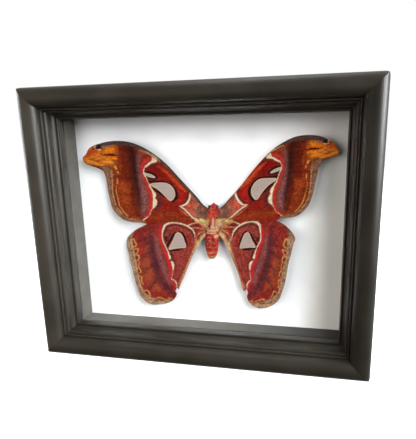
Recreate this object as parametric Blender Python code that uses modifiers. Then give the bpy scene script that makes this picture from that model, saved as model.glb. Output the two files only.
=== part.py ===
"""A spread moth in a glazed box frame, standing on its lower rail.

Row frame: X runs to the right along the frame, Y runs from the front to the back and Z is up.
The origin is at the middle of the bounding box's lowest face.
The design sizes are in millimetres from the frame's centre: x to the right, z up, and depth
from the frontmost crest of the moulding towards the back. place() turns them into metres.
"""
import math

import bmesh
import bpy
from mathutils import Vector

# Driving sizes of the frame, in millimetres
FRAME_WIDTH = 310.0
FRAME_HEIGHT = 252.4
RAIL_DEPTH = 58.0
RAIL_FACE = 26.2
RABBET_INSET = 20.8
LIP_BACK = 29.0
STRIP_RECESS = 2.0
MITRE_SETBACK = 0.22
CORNER_RADIUS = 5.0
CORNER_EASE = 0.05
GAP = 0.3

# Sheets that lie in the rabbet, from the glass to the back
GLASS_THICK = 2.0
BACKING_FRONT = 49.3
BACKING_THICK = 3.0
PANEL_THICK = 2.5
PANEL_CLEARANCE = 0.5

# Flat steel tabs that hold the back panel in
TAB_LENGTH = 12.0
TAB_REACH = 7.0
TAB_THICK = 0.6
TAB_OFFSETS = (-62.0, 62.0)

# Sawtooth hanger on the back of the top rail
HANGER_LENGTH = 46.0
HANGER_HEIGHT = 9.0
HANGER_THICK = 0.8
HANGER_STANDOFF = 1.5
HANGER_FOOT = 7.5
HANGER_BEND = 2.5
HANGER_TEETH = 7
TOOTH_DEPTH = 2.2
HANGER_INSET = 10.4
NAIL_RADIUS = 2.3
NAIL_HEAD = 0.9

OVERALL_DEPTH = RAIL_DEPTH + GAP + HANGER_STANDOFF + HANGER_THICK

# The moth: depth of its wings and thickness of the wing solids
FOREWING_DEPTH = 40.0
HINDWING_DEPTH = 41.3
WING_THICK = 0.6
WING_CELL = 6.0
OUTLINE_STEP = 4.0
BODY_CENTRE_X = 10.4

# Wing outlines, (x, z) or (x, z, "corner"), each round its wing from the base along the front edge
FOREWING_LEFT = (
    (9.0, 16.5, "corner"), (4.5, 18.8), (-5.0, 29.3), (-20.0, 45.6), (-33.0, 59.2), (-46.0, 69.3),
    (-56.0, 75.0), (-66.0, 78.7), (-78.0, 80.4), (-88.0, 80.1), (-98.0, 78.3), (-106.0, 76.0),
    (-111.0, 73.0), (-113.6, 68.8), (-117.6, 64.4), (-116.4, 60.8), (-111.0, 57.8), (-102.0, 54.8),
    (-97.2, 52.0), (-95.2, 47.0), (-94.2, 37.5), (-92.6, 25.5), (-89.6, 14.8), (-83.0, 7.8),
    (-78.5, 4.6), (-70.0, 3.0), (-59.0, 2.3), (-55.5, 1.5, "corner"), (-45.0, 2.8), (-30.0, 4.2),
    (-14.0, 4.8), (9.0, 7.0, "corner"),
)
FOREWING_RIGHT = (
    (13.0, 16.0, "corner"), (17.8, 18.3), (27.0, 27.3), (38.0, 39.3), (48.0, 51.8), (57.0, 62.0),
    (66.0, 70.6), (76.0, 77.1), (86.0, 81.4), (97.0, 82.7), (107.0, 81.4), (114.5, 78.0),
    (119.6, 73.9), (121.5, 70.7), (123.0, 68.3), (121.0, 65.3), (115.0, 63.2), (109.5, 60.5),
    (106.5, 56.0), (105.4, 49.0), (103.8, 41.0), (102.0, 31.5), (98.8, 22.5), (92.5, 14.8),
    (87.0, 11.6), (80.0, 10.3), (73.0, 9.1), (70.3, 8.0, "corner"), (60.0, 7.2), (45.0, 6.7),
    (30.0, 6.4), (13.0, 7.0, "corner"),
)
HINDWING_LEFT = (
    (8.0, 4.0, "corner"), (0.0, 8.6), (-20.0, 11.0), (-40.0, 8.2), (-52.0, 3.4), (-58.0, 0.0),
    (-66.0, -3.8), (-73.0, -8.9), (-77.4, -13.5), (-79.0, -20.0), (-77.4, -28.5), (-75.8, -38.5),
    (-73.8, -49.5), (-71.8, -59.5), (-69.6, -69.0), (-65.5, -76.5), (-58.5, -81.9), (-50.0, -82.2),
    (-40.0, -80.2), (-33.0, -76.6), (-29.2, -71.4), (-28.6, -69.4), (-29.9, -67.0), (-29.0, -64.6),
    (-27.8, -62.6, "corner"), (-26.4, -64.8, "corner"), (-24.9, -61.0), (-21.0, -52.6),
    (-17.0, -44.0), (-13.6, -36.2), (-10.6, -29.3), (-6.3, -22.0), (-2.4, -15.4), (0.4, -11.7),
    (8.0, -8.0, "corner"),
)
HINDWING_RIGHT = (
    (13.0, 4.0, "corner"), (22.0, 9.6), (40.0, 12.4), (58.0, 11.5), (66.0, 9.4), (70.3, 7.4),
    (75.0, 5.2), (80.9, 0.7), (85.4, -4.3), (87.6, -9.0), (86.3, -13.5), (84.1, -23.7),
    (81.7, -33.7), (80.4, -43.0), (78.8, -52.5), (76.3, -61.4), (73.4, -69.0), (67.5, -75.0),
    (60.0, -78.6), (53.0, -79.1), (47.5, -76.6), (43.7, -71.9), (42.4, -67.8), (43.6, -63.6),
    (42.4, -60.4, "corner"), (39.4, -63.0, "corner"), (37.2, -58.3), (35.5, -50.0), (32.5, -40.6),
    (28.0, -30.1), (24.0, -20.2), (20.5, -13.6), (17.8, -9.9), (13.0, -6.0, "corner"),
)

# Sections of the body from the head's tuft to the tail:
# z, centre x, half width, centre depth, half depth
BODY_SECTIONS = (
    (23.2, 11.4, 0.4, 41.4, 0.6), (22.4, 11.5, 1.2, 41.4, 1.6), (21.3, 11.5, 2.6, 41.4, 2.8),
    (20.3, 11.3, 3.8, 41.5, 3.8), (19.2, 11.1, 4.8, 41.6, 4.6), (18.0, 11.1, 5.5, 41.8, 5.3),
    (16.4, 11.1, 6.0, 41.9, 5.8), (14.5, 11.1, 6.3, 42.1, 6.2), (10.0, 10.9, 6.8, 42.2, 6.6),
    (5.0, 10.6, 6.9, 42.2, 6.6), (0.5, 10.2, 6.6, 42.2, 6.4), (-2.6, 9.9, 6.0, 42.3, 6.0),
    (-4.4, 9.7, 5.9, 42.3, 5.8), (-8.5, 9.2, 6.6, 42.3, 6.1), (-13.5, 8.7, 6.8, 42.3, 6.2),
    (-18.5, 8.5, 6.5, 42.4, 6.0), (-23.0, 8.5, 5.8, 42.5, 5.6), (-27.0, 8.5, 4.7, 42.7, 4.9),
    (-29.6, 8.3, 3.5, 42.9, 4.0), (-31.4, 8.3, 2.0, 43.0, 2.6),
)
BODY_SIDES = 16
EYE_RADIUS = 1.7
EYES = ((7.8, 40.2, 19.2), (14.9, 40.2, 19.4))

# Legs folded under the thorax, as (x, depth, z) joints of the left ones; the right ones mirror them
LEG_RADIUS = 0.75
LEGS_LEFT = (
    ((8.0, 45.0, 14.0), (3.2, 45.6, 16.4), (0.8, 47.4, 19.0)),
    ((7.5, 45.5, 8.0), (1.0, 45.6, 10.0), (-3.6, 47.6, 4.6)),
    ((7.5, 45.5, 2.0), (1.4, 45.8, -1.0), (-1.2, 47.6, -8.0)),
)

# Feathered antennae, swept back over the shoulders, as (x, depth, z)
ANTENNA_RADIUS = 0.95
ANTENNAE = {
    "antenna_left": ((6.2, 37.4, 18.4), (4.6, 36.6, 17.0), (3.6, 35.9, 14.8), (3.6, 35.8, 12.2)),
    "antenna_right": ((16.4, 37.4, 18.6), (18.6, 36.6, 17.2), (19.8, 35.9, 14.9), (19.0, 35.8, 12.2)),
}

# Enamelled pins through the thorax, (x, z) of each head
PINS = {"pin_left": (7.7, 1.6), "pin_right": (15.2, 9.2)}
PIN_SHAFT = 0.3
PIN_BORE = 0.65
PIN_HEAD = 0.8

# Colours, roughness and metallic value of each material
MATERIALS = {
    "frame_paint": ((0.032, 0.026, 0.022), 0.32, 0.0),
    "pane": ((0.9, 0.95, 0.93), 0.02, 0.0),
    "wall_paint": ((0.10, 0.092, 0.085), 0.6, 0.0),
    "white_board": ((0.86, 0.86, 0.84), 0.8, 0.0),
    "brown_board": ((0.33, 0.22, 0.13), 0.75, 0.0),
    "steel": ((0.55, 0.55, 0.54), 0.35, 1.0),
    "pin_enamel": ((0.02, 0.015, 0.015), 0.25, 0.0),
    "wing_scales": ((0.36, 0.12, 0.06), 0.75, 0.0),
    "body_fur": ((0.42, 0.06, 0.045), 0.85, 0.0),
    "antenna": ((0.55, 0.42, 0.24), 0.7, 0.0),
}


def clear_scene():
    for obj in list(bpy.data.objects):
        bpy.data.objects.remove(obj, do_unlink=True)


def new_collection(name):
    collection = bpy.data.collections.new(name)
    bpy.context.scene.collection.children.link(collection)
    return collection


def new_material(name):
    colour, roughness, metallic = MATERIALS[name]
    material = bpy.data.materials.new(name)
    material.use_nodes = True
    shader = material.node_tree.nodes["Principled BSDF"]
    shader.inputs["Base Color"].default_value = (*colour, 1.0)
    shader.inputs["Roughness"].default_value = roughness
    shader.inputs["Metallic"].default_value = metallic
    return material


def place(x, depth, z):
    """Row position in metres of a point given in millimetres from the frame's centre and front."""
    return Vector((x, depth - OVERALL_DEPTH / 2.0, z + FRAME_HEIGHT / 2.0)) * 0.001


class Workshop:
    """Collections and materials that the pieces go into."""

    def __init__(self):
        self.parts = new_collection("framed_moth_specimen")
        self.cutters = new_collection("cutters")
        self.materials = {name: new_material(name) for name in MATERIALS}

    def add(self, name, mesh, material, smooth_angle=None):
        mesh.materials.clear()
        mesh.materials.append(self.materials[material])
        if smooth_angle is not None:
            mesh.shade_smooth()
            mesh.set_sharp_from_angle(angle=math.radians(smooth_angle))
        obj = bpy.data.objects.new(name, mesh)
        self.parts.objects.link(obj)
        return obj

    def add_cutter(self, name, mesh):
        obj = bpy.data.objects.new(name, mesh)
        self.cutters.objects.link(obj)
        obj.hide_render = True
        obj.display_type = "WIRE"
        return obj


def boolean(obj, tool, operation):
    modifier = obj.modifiers.new(tool.name, "BOOLEAN")
    modifier.operation = operation
    modifier.object = tool


def mesh_from(name, build):
    """Mesh made by build(bm), with its faces turned outwards."""
    bm = bmesh.new()
    build(bm)
    bm.normal_update()
    bmesh.ops.recalc_face_normals(bm, faces=bm.faces)
    mesh = bpy.data.meshes.new(name)
    bm.to_mesh(mesh)
    bm.free()
    return mesh


def box_mesh(name, x_range, depth_range, z_range):
    low = place(x_range[0], depth_range[0], z_range[0])
    high = place(x_range[1], depth_range[1], z_range[1])

    def build(bm):
        bmesh.ops.create_cube(bm, size=1.0)
        for vert in bm.verts:
            for axis in range(3):
                vert.co[axis] = low[axis] if vert.co[axis] < 0.0 else high[axis]

    return mesh_from(name, build)


def curve_to_mesh(name, curve):
    """Closed mesh of a filled or bevelled curve, with its loose caps welded on."""
    obj = bpy.data.objects.new(name, curve)
    bpy.context.scene.collection.objects.link(obj)
    graph = bpy.context.evaluated_depsgraph_get()
    mesh = bpy.data.meshes.new_from_object(obj.evaluated_get(graph))
    bpy.data.objects.remove(obj, do_unlink=True)
    bpy.data.curves.remove(curve)
    bm = bmesh.new()
    bm.from_mesh(mesh)
    bmesh.ops.remove_doubles(bm, verts=bm.verts, dist=0.00005)
    bmesh.ops.recalc_face_normals(bm, faces=bm.faces)
    bm.to_mesh(mesh)
    bm.free()
    return mesh


def outline_mesh(name, points, half_thickness):
    """Flat plate of an outline in the XY plane, in the units of the points."""
    curve = bpy.data.curves.new(name, "CURVE")
    curve.dimensions = "2D"
    curve.fill_mode = "BOTH"
    curve.extrude = half_thickness
    spline = curve.splines.new("POLY")
    spline.points.add(len(points) - 1)
    for point, (x, y) in zip(spline.points, points):
        point.co = (x, y, 0.0, 1.0)
    spline.use_cyclic_u = True
    return curve_to_mesh(name, curve)


def move_vertices(mesh, new_position):
    for vert in mesh.vertices:
        vert.co = new_position(vert.co)
    bm = bmesh.new()
    bm.from_mesh(mesh)
    bmesh.ops.recalc_face_normals(bm, faces=bm.faces)
    bm.to_mesh(mesh)
    bm.free()


def arc(centre, radii, start, end, count):
    """Points of an elliptic arc, with angles in degrees from the inset axis towards the depth axis."""
    points = []
    for index in range(count):
        angle = math.radians(start + (end - start) * index / (count - 1))
        points.append((centre[0] + radii[0] * math.cos(angle), centre[1] + radii[1] * math.sin(angle)))
    return points


def moulding_section():
    """(inset, depth) points round the rail's section: inset from the outer side, depth from the crest."""
    points = [(0.0, RAIL_DEPTH)]
    # bullnose: outer quarter round up to the crest, then a swelling down to the first groove
    points += arc((9.6, 9.2), (9.6, 9.2), 180.0, 270.0, 11)
    points += arc((10.2, 8.6), (7.6, 8.6), 270.0, 350.0, 11)
    points.append((17.95, 9.3))
    # small bead between two grooves
    points += arc((18.9, 9.6), (0.9, 1.2), 180.0, 350.0, 6)
    points.append((19.85, 11.8))
    # quarter round, then a cove down to the third groove
    points += arc((20.1, 15.0), (1.9, 3.7), 275.0, 360.0, 6)
    points += arc((25.6, 15.4), (3.6, 6.0), 180.0, 115.0, 6)
    points.append((24.15, 21.6))
    # bead along the sight edge
    points += arc((25.2, 22.7), (0.95, 1.3), 200.0, 345.0, 6)
    points.append((RAIL_FACE, 23.6))
    points.append((RAIL_FACE, LIP_BACK))
    points.append((RABBET_INSET, LIP_BACK))
    points.append((RABBET_INSET, RAIL_DEPTH))
    return points


def make_rail(shop, name, length, to_row):
    """Length of moulding with mitred ends; to_row(along, inset, depth) puts it on its side."""
    mesh = outline_mesh(name, moulding_section(), length / 2.0)

    def mitred(co):
        end = math.copysign(length / 2.0 - co.x - MITRE_SETBACK, co.z)
        return to_row(end, co.x, co.y)

    move_vertices(mesh, mitred)
    return shop.add(name, mesh, "frame_paint", smooth_angle=28.0)


def rounded_block(name, half_width, half_height, radius):
    """Block with rounded upright edges that takes in the whole frame but for its sharp corners."""
    outline = []
    for quarter, (side_x, side_z) in enumerate(((1, 1), (-1, 1), (-1, -1), (1, -1))):
        centre = (side_x * (half_width - radius), side_z * (half_height - radius))
        outline += arc(centre, (radius, radius), 90.0 * quarter, 90.0 * quarter + 90.0, 6)
    mesh = outline_mesh(name, outline, RAIL_DEPTH)
    move_vertices(mesh, lambda co: place(co.x, co.z + RAIL_DEPTH / 2.0, co.y))
    return mesh


def make_frame(shop):
    half_width = FRAME_WIDTH / 2.0
    half_height = FRAME_HEIGHT / 2.0
    rails = (
        make_rail(shop, "rail_bottom", FRAME_WIDTH, lambda s, t, d: place(s, d, t - half_height)),
        make_rail(shop, "rail_top", FRAME_WIDTH, lambda s, t, d: place(s, d, half_height - t)),
        make_rail(shop, "rail_left", FRAME_HEIGHT, lambda s, t, d: place(t - half_width, d, s)),
        make_rail(shop, "rail_right", FRAME_HEIGHT, lambda s, t, d: place(half_width - t, d, s)),
    )
    block = rounded_block(
        "frame_corners", half_width + CORNER_EASE, half_height + CORNER_EASE, CORNER_RADIUS
    )
    cutter = shop.add_cutter("frame_corners", block)
    for rail in rails:
        boolean(rail, cutter, "INTERSECT")


def make_box(shop):
    """Glass, spacer walls, white backing and back panel, all inside the rabbet."""
    half_width = FRAME_WIDTH / 2.0 - RABBET_INSET - GAP
    half_height = FRAME_HEIGHT / 2.0 - RABBET_INSET - GAP
    sight_x = FRAME_WIDTH / 2.0 - RAIL_FACE
    sight_z = FRAME_HEIGHT / 2.0 - RAIL_FACE
    glass_front = LIP_BACK + GAP
    glass_back = glass_front + GLASS_THICK
    full_x = (-half_width, half_width)
    full_z = (-half_height, half_height)
    shop.add("glass", box_mesh("glass", full_x, (glass_front, glass_back), full_z), "pane")

    wall_depth = (glass_back + GAP, BACKING_FRONT - GAP)
    top_z = sight_z + STRIP_RECESS
    right_x = sight_x + STRIP_RECESS
    side_z = (GAP - sight_z, top_z - GAP)
    walls = {
        "wall_bottom": (full_x, (-half_height, -sight_z)),
        "wall_top": (full_x, (top_z, half_height)),
        "wall_left": ((-half_width, -sight_x), side_z),
        "wall_right": ((right_x, half_width), side_z),
    }
    for name, (x_range, z_range) in walls.items():
        shop.add(name, box_mesh(name, x_range, wall_depth, z_range), "wall_paint")

    backing_back = BACKING_FRONT + BACKING_THICK
    backing = box_mesh("backing_board", full_x, (BACKING_FRONT, backing_back), full_z)
    shop.add("backing_board", backing, "white_board")

    panel_front = backing_back + GAP
    inner_x = (PANEL_CLEARANCE - half_width, half_width - PANEL_CLEARANCE)
    inner_z = (PANEL_CLEARANCE - half_height, half_height - PANEL_CLEARANCE)
    panel = box_mesh("back_panel", inner_x, (panel_front, panel_front + PANEL_THICK), inner_z)
    shop.add("back_panel", panel, "brown_board")
    make_tabs(shop, panel_front + PANEL_THICK + GAP, half_width, half_height)


def make_tabs(shop, front, half_width, half_height):
    """Two flat tabs on each rail, lying on the back panel."""
    depth = (front, front + TAB_THICK)
    half = TAB_LENGTH / 2.0
    for number, offset in enumerate(TAB_OFFSETS, start=1):
        along = (offset - half, offset + half)
        spots = {
            "left": ((-half_width, TAB_REACH - half_width), along),
            "right": ((half_width - TAB_REACH, half_width), along),
            "bottom": (along, (-half_height, TAB_REACH - half_height)),
            "top": (along, (half_height - TAB_REACH, half_height)),
        }
        for side, (x_range, z_range) in spots.items():
            name = f"tab_{side}_{number}"
            tab = shop.add(name, box_mesh(name, x_range, depth, z_range), "steel")
            bevel = tab.modifiers.new("soft edges", "BEVEL")
            bevel.width = 0.0001
            bevel.segments = 1


def make_hanger(shop):
    """Bent steel strip with a toothed lower edge, and the two nails that hold it."""
    half = HANGER_LENGTH / 2.0
    rise = half - HANGER_FOOT
    top = rise - HANGER_BEND
    lower = [(-half, 0.0), (-rise, 0.0), (-top, HANGER_STANDOFF)]
    lower += [(-x, y) for x, y in reversed(lower)]
    upper = [(x, y + HANGER_THICK) for x, y in reversed(lower)]
    mesh = outline_mesh("hanger", lower + upper, HANGER_HEIGHT / 2.0)
    centre_z = FRAME_HEIGHT / 2.0 - HANGER_INSET
    front = RAIL_DEPTH + GAP
    move_vertices(mesh, lambda co: place(co.x, front + co.y, centre_z + co.z))
    hanger = shop.add("hanger", mesh, "steel")

    bottom = centre_z - HANGER_HEIGHT / 2.0
    pitch = 2.0 * (top - 1.0) / HANGER_TEETH
    teeth = [(1.0 - top, bottom - 2.0)]
    for index in range(HANGER_TEETH):
        start = 1.0 - top + index * pitch
        teeth += [(start, bottom), (start + pitch / 2.0, bottom + TOOTH_DEPTH)]
    teeth += [(top - 1.0, bottom), (top - 1.0, bottom - 2.0)]
    cutter_mesh = outline_mesh("hanger_teeth", teeth, 4.0)
    move_vertices(cutter_mesh, lambda co: place(co.x, RAIL_DEPTH + 1.5 + co.z, co.y))
    boolean(hanger, shop.add_cutter("hanger_teeth", cutter_mesh), "DIFFERENCE")

    foot_back = front + HANGER_THICK + GAP
    for side, sign in (("left", -1.0), ("right", 1.0)):
        name = f"hanger_nail_{side}"
        spot = place(sign * (half - HANGER_FOOT / 2.0), foot_back, centre_z)
        shop.add(name, nail_mesh(name, spot), "steel", smooth_angle=40.0)


def nail_mesh(name, spot):
    """Low domed nail head whose flat side is at the spot, facing the rail."""

    def build(bm):
        bmesh.ops.create_cone(
            bm, cap_ends=True, segments=16, radius1=NAIL_RADIUS, radius2=NAIL_RADIUS * 0.6, depth=NAIL_HEAD
        )
        for vert in bm.verts:
            x, y, z = vert.co
            vert.co = spot + Vector((x, z + NAIL_HEAD / 2.0, y)) * 0.001

    return mesh_from(name, build)


def smooth_outline(points, step):
    """Closed outline through the points: a smooth curve that breaks only at the corners."""
    count = len(points)
    knots = [Vector(point[:2]) for point in points]
    corner = [len(point) > 2 for point in points]
    outline = []
    for index in range(count):
        here, there = knots[index], knots[(index + 1) % count]
        before = here if corner[index] else knots[index - 1]
        after = there if corner[(index + 1) % count] else knots[(index + 2) % count]
        span = (there - here).length
        leave = tangent(before, here, there) * span
        arrive = tangent(here, there, after) * span
        pieces = max(1, round(span / step))
        for piece in range(pieces):
            outline.append(hermite(here, there, leave, arrive, piece / pieces))
    return outline


def tangent(before, here, after):
    """Direction of the curve at here, weighted towards the nearer neighbour."""
    first = (here - before).length
    second = (after - here).length
    if first == 0.0 or second == 0.0:
        return (after - before).normalized()
    slope = (here - before) / first * second + (after - here) / second * first
    return slope / (first + second)


def hermite(start, end, leave, arrive, at):
    cube = at ** 3
    square = at ** 2
    return (
        start * (2 * cube - 3 * square + 1)
        + leave * (cube - 2 * square + at)
        + end * (3 * square - 2 * cube)
        + arrive * (cube - square)
    )


def wing_relief(x, z):
    """Depth added to a flat wing, in millimetres: a low arch from root to tip and slow waves."""
    reach = (x - BODY_CENTRE_X) / 120.0
    arch = -1.1 * math.sin(math.pi * min(1.0, abs(reach)))
    waves = 0.25 * math.sin(z / 11.0 + 0.04 * abs(x - BODY_CENTRE_X))
    return arch + waves


def make_wing(shop, name, points, depth, body_cutter):
    """Cambered sheet cut to its outline, and cut back from the body."""
    outline = smooth_outline(points, OUTLINE_STEP)
    low = Vector((min(p.x for p in outline) - 3.0, min(p.y for p in outline) - 3.0))
    high = Vector((max(p.x for p in outline) + 3.0, max(p.y for p in outline) + 3.0))
    centre = (low + high) / 2.0

    def build(bm):
        columns = round((high.x - low.x) / WING_CELL)
        rows = round((high.y - low.y) / WING_CELL)
        bmesh.ops.create_grid(bm, x_segments=columns, y_segments=rows, size=1.0)
        for vert in bm.verts:
            x = centre.x + vert.co.x * (high.x - low.x) / 2.0
            z = centre.y + vert.co.y * (high.y - low.y) / 2.0
            vert.co = place(x, depth + wing_relief(x, z), z)

    wing = shop.add(name, mesh_from(name, build), "wing_scales")
    solidify = wing.modifiers.new("thickness", "SOLIDIFY")
    solidify.thickness = WING_THICK * 0.001
    solidify.offset = 0.0
    cutter_mesh = outline_mesh(f"{name}_outline", [tuple(point) for point in outline], 6.0)
    move_vertices(cutter_mesh, lambda co: place(co.x, depth + co.z, co.y))
    boolean(wing, shop.add_cutter(f"{name}_outline", cutter_mesh), "INTERSECT")
    boolean(wing, body_cutter, "DIFFERENCE")


def body_mesh(name, grow=0.0):
    """Loft through the body's sections, closed by a fan at each end."""

    def build(bm):
        rings = []
        for z, x, half_width, depth, half_depth in BODY_SECTIONS:
            ring = []
            for index in range(BODY_SIDES):
                angle = 2.0 * math.pi * index / BODY_SIDES
                across = (half_width + grow) * math.cos(angle)
                through = (half_depth + grow) * math.sin(angle)
                ring.append(bm.verts.new(place(x + across, depth + through, z)))
            rings.append(ring)
        for upper, lower in zip(rings, rings[1:]):
            for index in range(BODY_SIDES):
                after = (index + 1) % BODY_SIDES
                bm.faces.new((upper[index], upper[after], lower[after], lower[index]))
        for ring, section, lift in ((rings[0], BODY_SECTIONS[0], 0.4), (rings[-1], BODY_SECTIONS[-1], -0.5)):
            pole = bm.verts.new(place(section[1], section[3], section[0] + lift * (1.0 + grow)))
            for index in range(BODY_SIDES):
                bm.faces.new((ring[index], ring[(index + 1) % BODY_SIDES], pole))

    return mesh_from(name, build)


def ball_mesh(name, centre, radius):
    def build(bm):
        bmesh.ops.create_uvsphere(bm, u_segments=12, v_segments=8, radius=radius * 0.001)
        bmesh.ops.translate(bm, verts=bm.verts, vec=place(*centre))

    return mesh_from(name, build)


def tube_mesh(name, joints, radius, end_scale=1.0, resolution=1):
    """Round tube through the joints, thinning evenly to end_scale of its radius."""
    curve = bpy.data.curves.new(name, "CURVE")
    curve.dimensions = "3D"
    curve.bevel_depth = radius * 0.001
    curve.bevel_resolution = resolution
    curve.use_fill_caps = True
    spline = curve.splines.new("POLY")
    spline.points.add(len(joints) - 1)
    for index, (point, joint) in enumerate(zip(spline.points, joints)):
        point.co = (*place(*joint), 1.0)
        point.radius = 1.0 + (end_scale - 1.0) * index / (len(joints) - 1)
    return curve_to_mesh(name, curve)


def cylinder_mesh(name, x, z, depth_range, radius, segments):
    def build(bm):
        length = depth_range[1] - depth_range[0]
        bmesh.ops.create_cone(
            bm, cap_ends=True, segments=segments, radius1=radius, radius2=radius, depth=length
        )
        middle = (depth_range[0] + depth_range[1]) / 2.0
        for vert in bm.verts:
            vert.co = place(x + vert.co.x, middle + vert.co.z, z + vert.co.y)

    return mesh_from(name, build)


def body_front(z, x):
    """Depth of the body's front surface at (x, z), from the two sections on either side of z."""
    for upper, lower in zip(BODY_SECTIONS, BODY_SECTIONS[1:]):
        if lower[0] <= z <= upper[0]:
            share = (upper[0] - z) / (upper[0] - lower[0])
            centre, half_width, depth, half_depth = (
                upper[k] + (lower[k] - upper[k]) * share for k in range(1, 5)
            )
            across = min(1.0, abs(x - centre) / half_width)
            return depth - half_depth * math.sqrt(1.0 - across ** 2)
    raise ValueError("z is off the body")


def make_body(shop):
    """Head, thorax, abdomen, eyes and folded legs as one solid, bored for the pins."""
    body = shop.add("moth_body", body_mesh("moth_body"), "body_fur", smooth_angle=60.0)
    for side, spot in zip(("left", "right"), EYES):
        name = f"eye_{side}"
        boolean(body, shop.add_cutter(name, ball_mesh(name, spot, EYE_RADIUS)), "UNION")
    for number, joints in enumerate(LEGS_LEFT, start=1):
        for side, mirror in (("left", 1.0), ("right", -1.0)):
            name = f"leg_{side}_{number}"
            turned = [(BODY_CENTRE_X + mirror * (x - BODY_CENTRE_X), d, z) for x, d, z in joints]
            leg = tube_mesh(name, turned, LEG_RADIUS, end_scale=0.5)
            boolean(body, shop.add_cutter(name, leg), "UNION")
    for name, (x, z) in PINS.items():
        bore = cylinder_mesh(f"{name}_bore", x, z, (30.0, 47.0), PIN_BORE, 12)
        boolean(body, shop.add_cutter(f"{name}_bore", bore), "DIFFERENCE")


def make_pins(shop):
    """Thin pins in their bores, each with a round head just clear of the thorax."""
    for name, (x, z) in PINS.items():
        head_depth = body_front(z, x) - PIN_HEAD * 0.6 - GAP
        shaft = cylinder_mesh(name, x, z, (head_depth, 46.6), PIN_SHAFT, 10)
        pin = shop.add(name, shaft, "pin_enamel", smooth_angle=40.0)
        head = ball_mesh(f"{name}_head", (x, head_depth, z), PIN_HEAD)
        boolean(pin, shop.add_cutter(f"{name}_head", head), "UNION")


def make_moth(shop):
    make_body(shop)
    body_cutter = shop.add_cutter("body_clearance", body_mesh("body_clearance", grow=GAP))
    make_wing(shop, "forewing_left", FOREWING_LEFT, FOREWING_DEPTH, body_cutter)
    make_wing(shop, "forewing_right", FOREWING_RIGHT, FOREWING_DEPTH, body_cutter)
    make_wing(shop, "hindwing_left", HINDWING_LEFT, HINDWING_DEPTH, body_cutter)
    make_wing(shop, "hindwing_right", HINDWING_RIGHT, HINDWING_DEPTH, body_cutter)
    for name, joints in ANTENNAE.items():
        mesh = tube_mesh(name, joints, ANTENNA_RADIUS, end_scale=0.45, resolution=2)
        antenna = shop.add(name, mesh, "antenna", smooth_angle=60.0)
        boolean(antenna, body_cutter, "DIFFERENCE")
    make_pins(shop)


def main():
    clear_scene()
    shop = Workshop()
    make_frame(shop)
    make_box(shop)
    make_hanger(shop)
    make_moth(shop)


main()
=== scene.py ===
"""Finish, fine meshes, light and camera for a spread moth in a glazed box frame.

Design sizes are in millimetres from the frame's centre: x to the right, z up, and depth from the
moulding's frontmost crest towards the back. row() turns them into metres in the part's frame.
The wing markings are curves in the left wings' own plane. The right wings borrow them through a
smooth warp between landmarks of the two sides.
"""

import math

import bpy
import numpy as np
from mathutils import Matrix, Vector


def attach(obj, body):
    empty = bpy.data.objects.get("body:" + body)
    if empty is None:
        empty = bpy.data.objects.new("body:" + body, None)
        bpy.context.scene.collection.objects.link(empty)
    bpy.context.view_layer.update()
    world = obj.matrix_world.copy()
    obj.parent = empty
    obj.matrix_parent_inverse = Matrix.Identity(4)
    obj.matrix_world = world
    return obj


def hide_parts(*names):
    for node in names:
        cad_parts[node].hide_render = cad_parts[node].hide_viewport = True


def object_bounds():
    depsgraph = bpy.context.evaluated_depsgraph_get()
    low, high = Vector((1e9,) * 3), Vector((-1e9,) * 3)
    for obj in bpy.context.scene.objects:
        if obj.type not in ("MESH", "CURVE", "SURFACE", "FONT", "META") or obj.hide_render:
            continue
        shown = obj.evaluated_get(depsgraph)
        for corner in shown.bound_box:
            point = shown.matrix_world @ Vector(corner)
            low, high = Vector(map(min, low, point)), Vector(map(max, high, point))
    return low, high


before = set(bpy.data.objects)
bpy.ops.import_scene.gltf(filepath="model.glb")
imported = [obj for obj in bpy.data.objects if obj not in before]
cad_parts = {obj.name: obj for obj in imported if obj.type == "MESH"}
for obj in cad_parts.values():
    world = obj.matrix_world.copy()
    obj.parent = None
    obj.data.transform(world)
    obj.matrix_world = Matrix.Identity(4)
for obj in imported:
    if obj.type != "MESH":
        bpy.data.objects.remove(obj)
CAD_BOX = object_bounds()

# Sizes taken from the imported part, in millimetres
FRONT_Y = CAD_BOX[0][1] * 1000.0
HALF_HEIGHT = (CAD_BOX[1][2] - CAD_BOX[0][2]) * 500.0

# Camera, in metres and degrees: lens and aim from the perspective of the frame's eight visible corners
IMAGE_HEIGHT = 439.0
FOCAL_PIXELS = 385.8
SENSOR = 36.0
CAMERA_PLACE = (0.0986, -0.3378, 0.1969)
CAMERA_YAW = 10.79
CAMERA_PITCH = -12.12
CAMERA_ROLL = 0.68
CAMERA_SHIFT = (-0.0636, 0.0305)

# The rails: side, axis that the rail and its grain follow, and how much its paint is lightened, which is
# painted light: most on the left rail that faces the light, least on the right rail
RAILS = (("top", 0, 1.3), ("bottom", 0, 1.2), ("left", 2, 1.7), ("right", 2, 0.85))
# The solids' mitre faces are set back from the mitre by this many millimetres, and a point that is
# nearer to the mitre than the second number belongs to one of them
MITRE_SETBACK = 0.20
MITRE_REACH = 0.3

# The point that all lamps aim at, and the ground's half width and height, in metres
LIGHT_AIM = (0.0, 0.0, 0.12)
GROUND_HALF = 4.0
GROUND_Z = -0.0003

# The moth, in millimetres. Outlines, arch, waves and sections are the same as the solids'
FOREWING_DEPTH = 40.0
HINDWING_DEPTH = 41.3
WING_THICK = 0.3
WING_CELL = 0.55
BODY_CENTRE_X = 10.4
ROOT_CUT = 4.6
VEIN_RISE = 0.2
VEIN_HALF = 0.35
PLEAT_SAG = 0.3
PLEAT_REACH = 5.0
ARCH_DEPTH = 1.1
ARCH_SPAN = 120.0
WAVE_DEPTH = 0.25
WAVE_PITCH = 11.0
WAVE_DRIFT = 0.04

# Spacing of the points along outlines, veins and marks, and how far from a mark its distance counts
OUTLINE_STEP = 0.8
VEIN_STEP = 2.0
MARK_STEP = 1.5
MARK_REACH = 20.0

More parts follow.
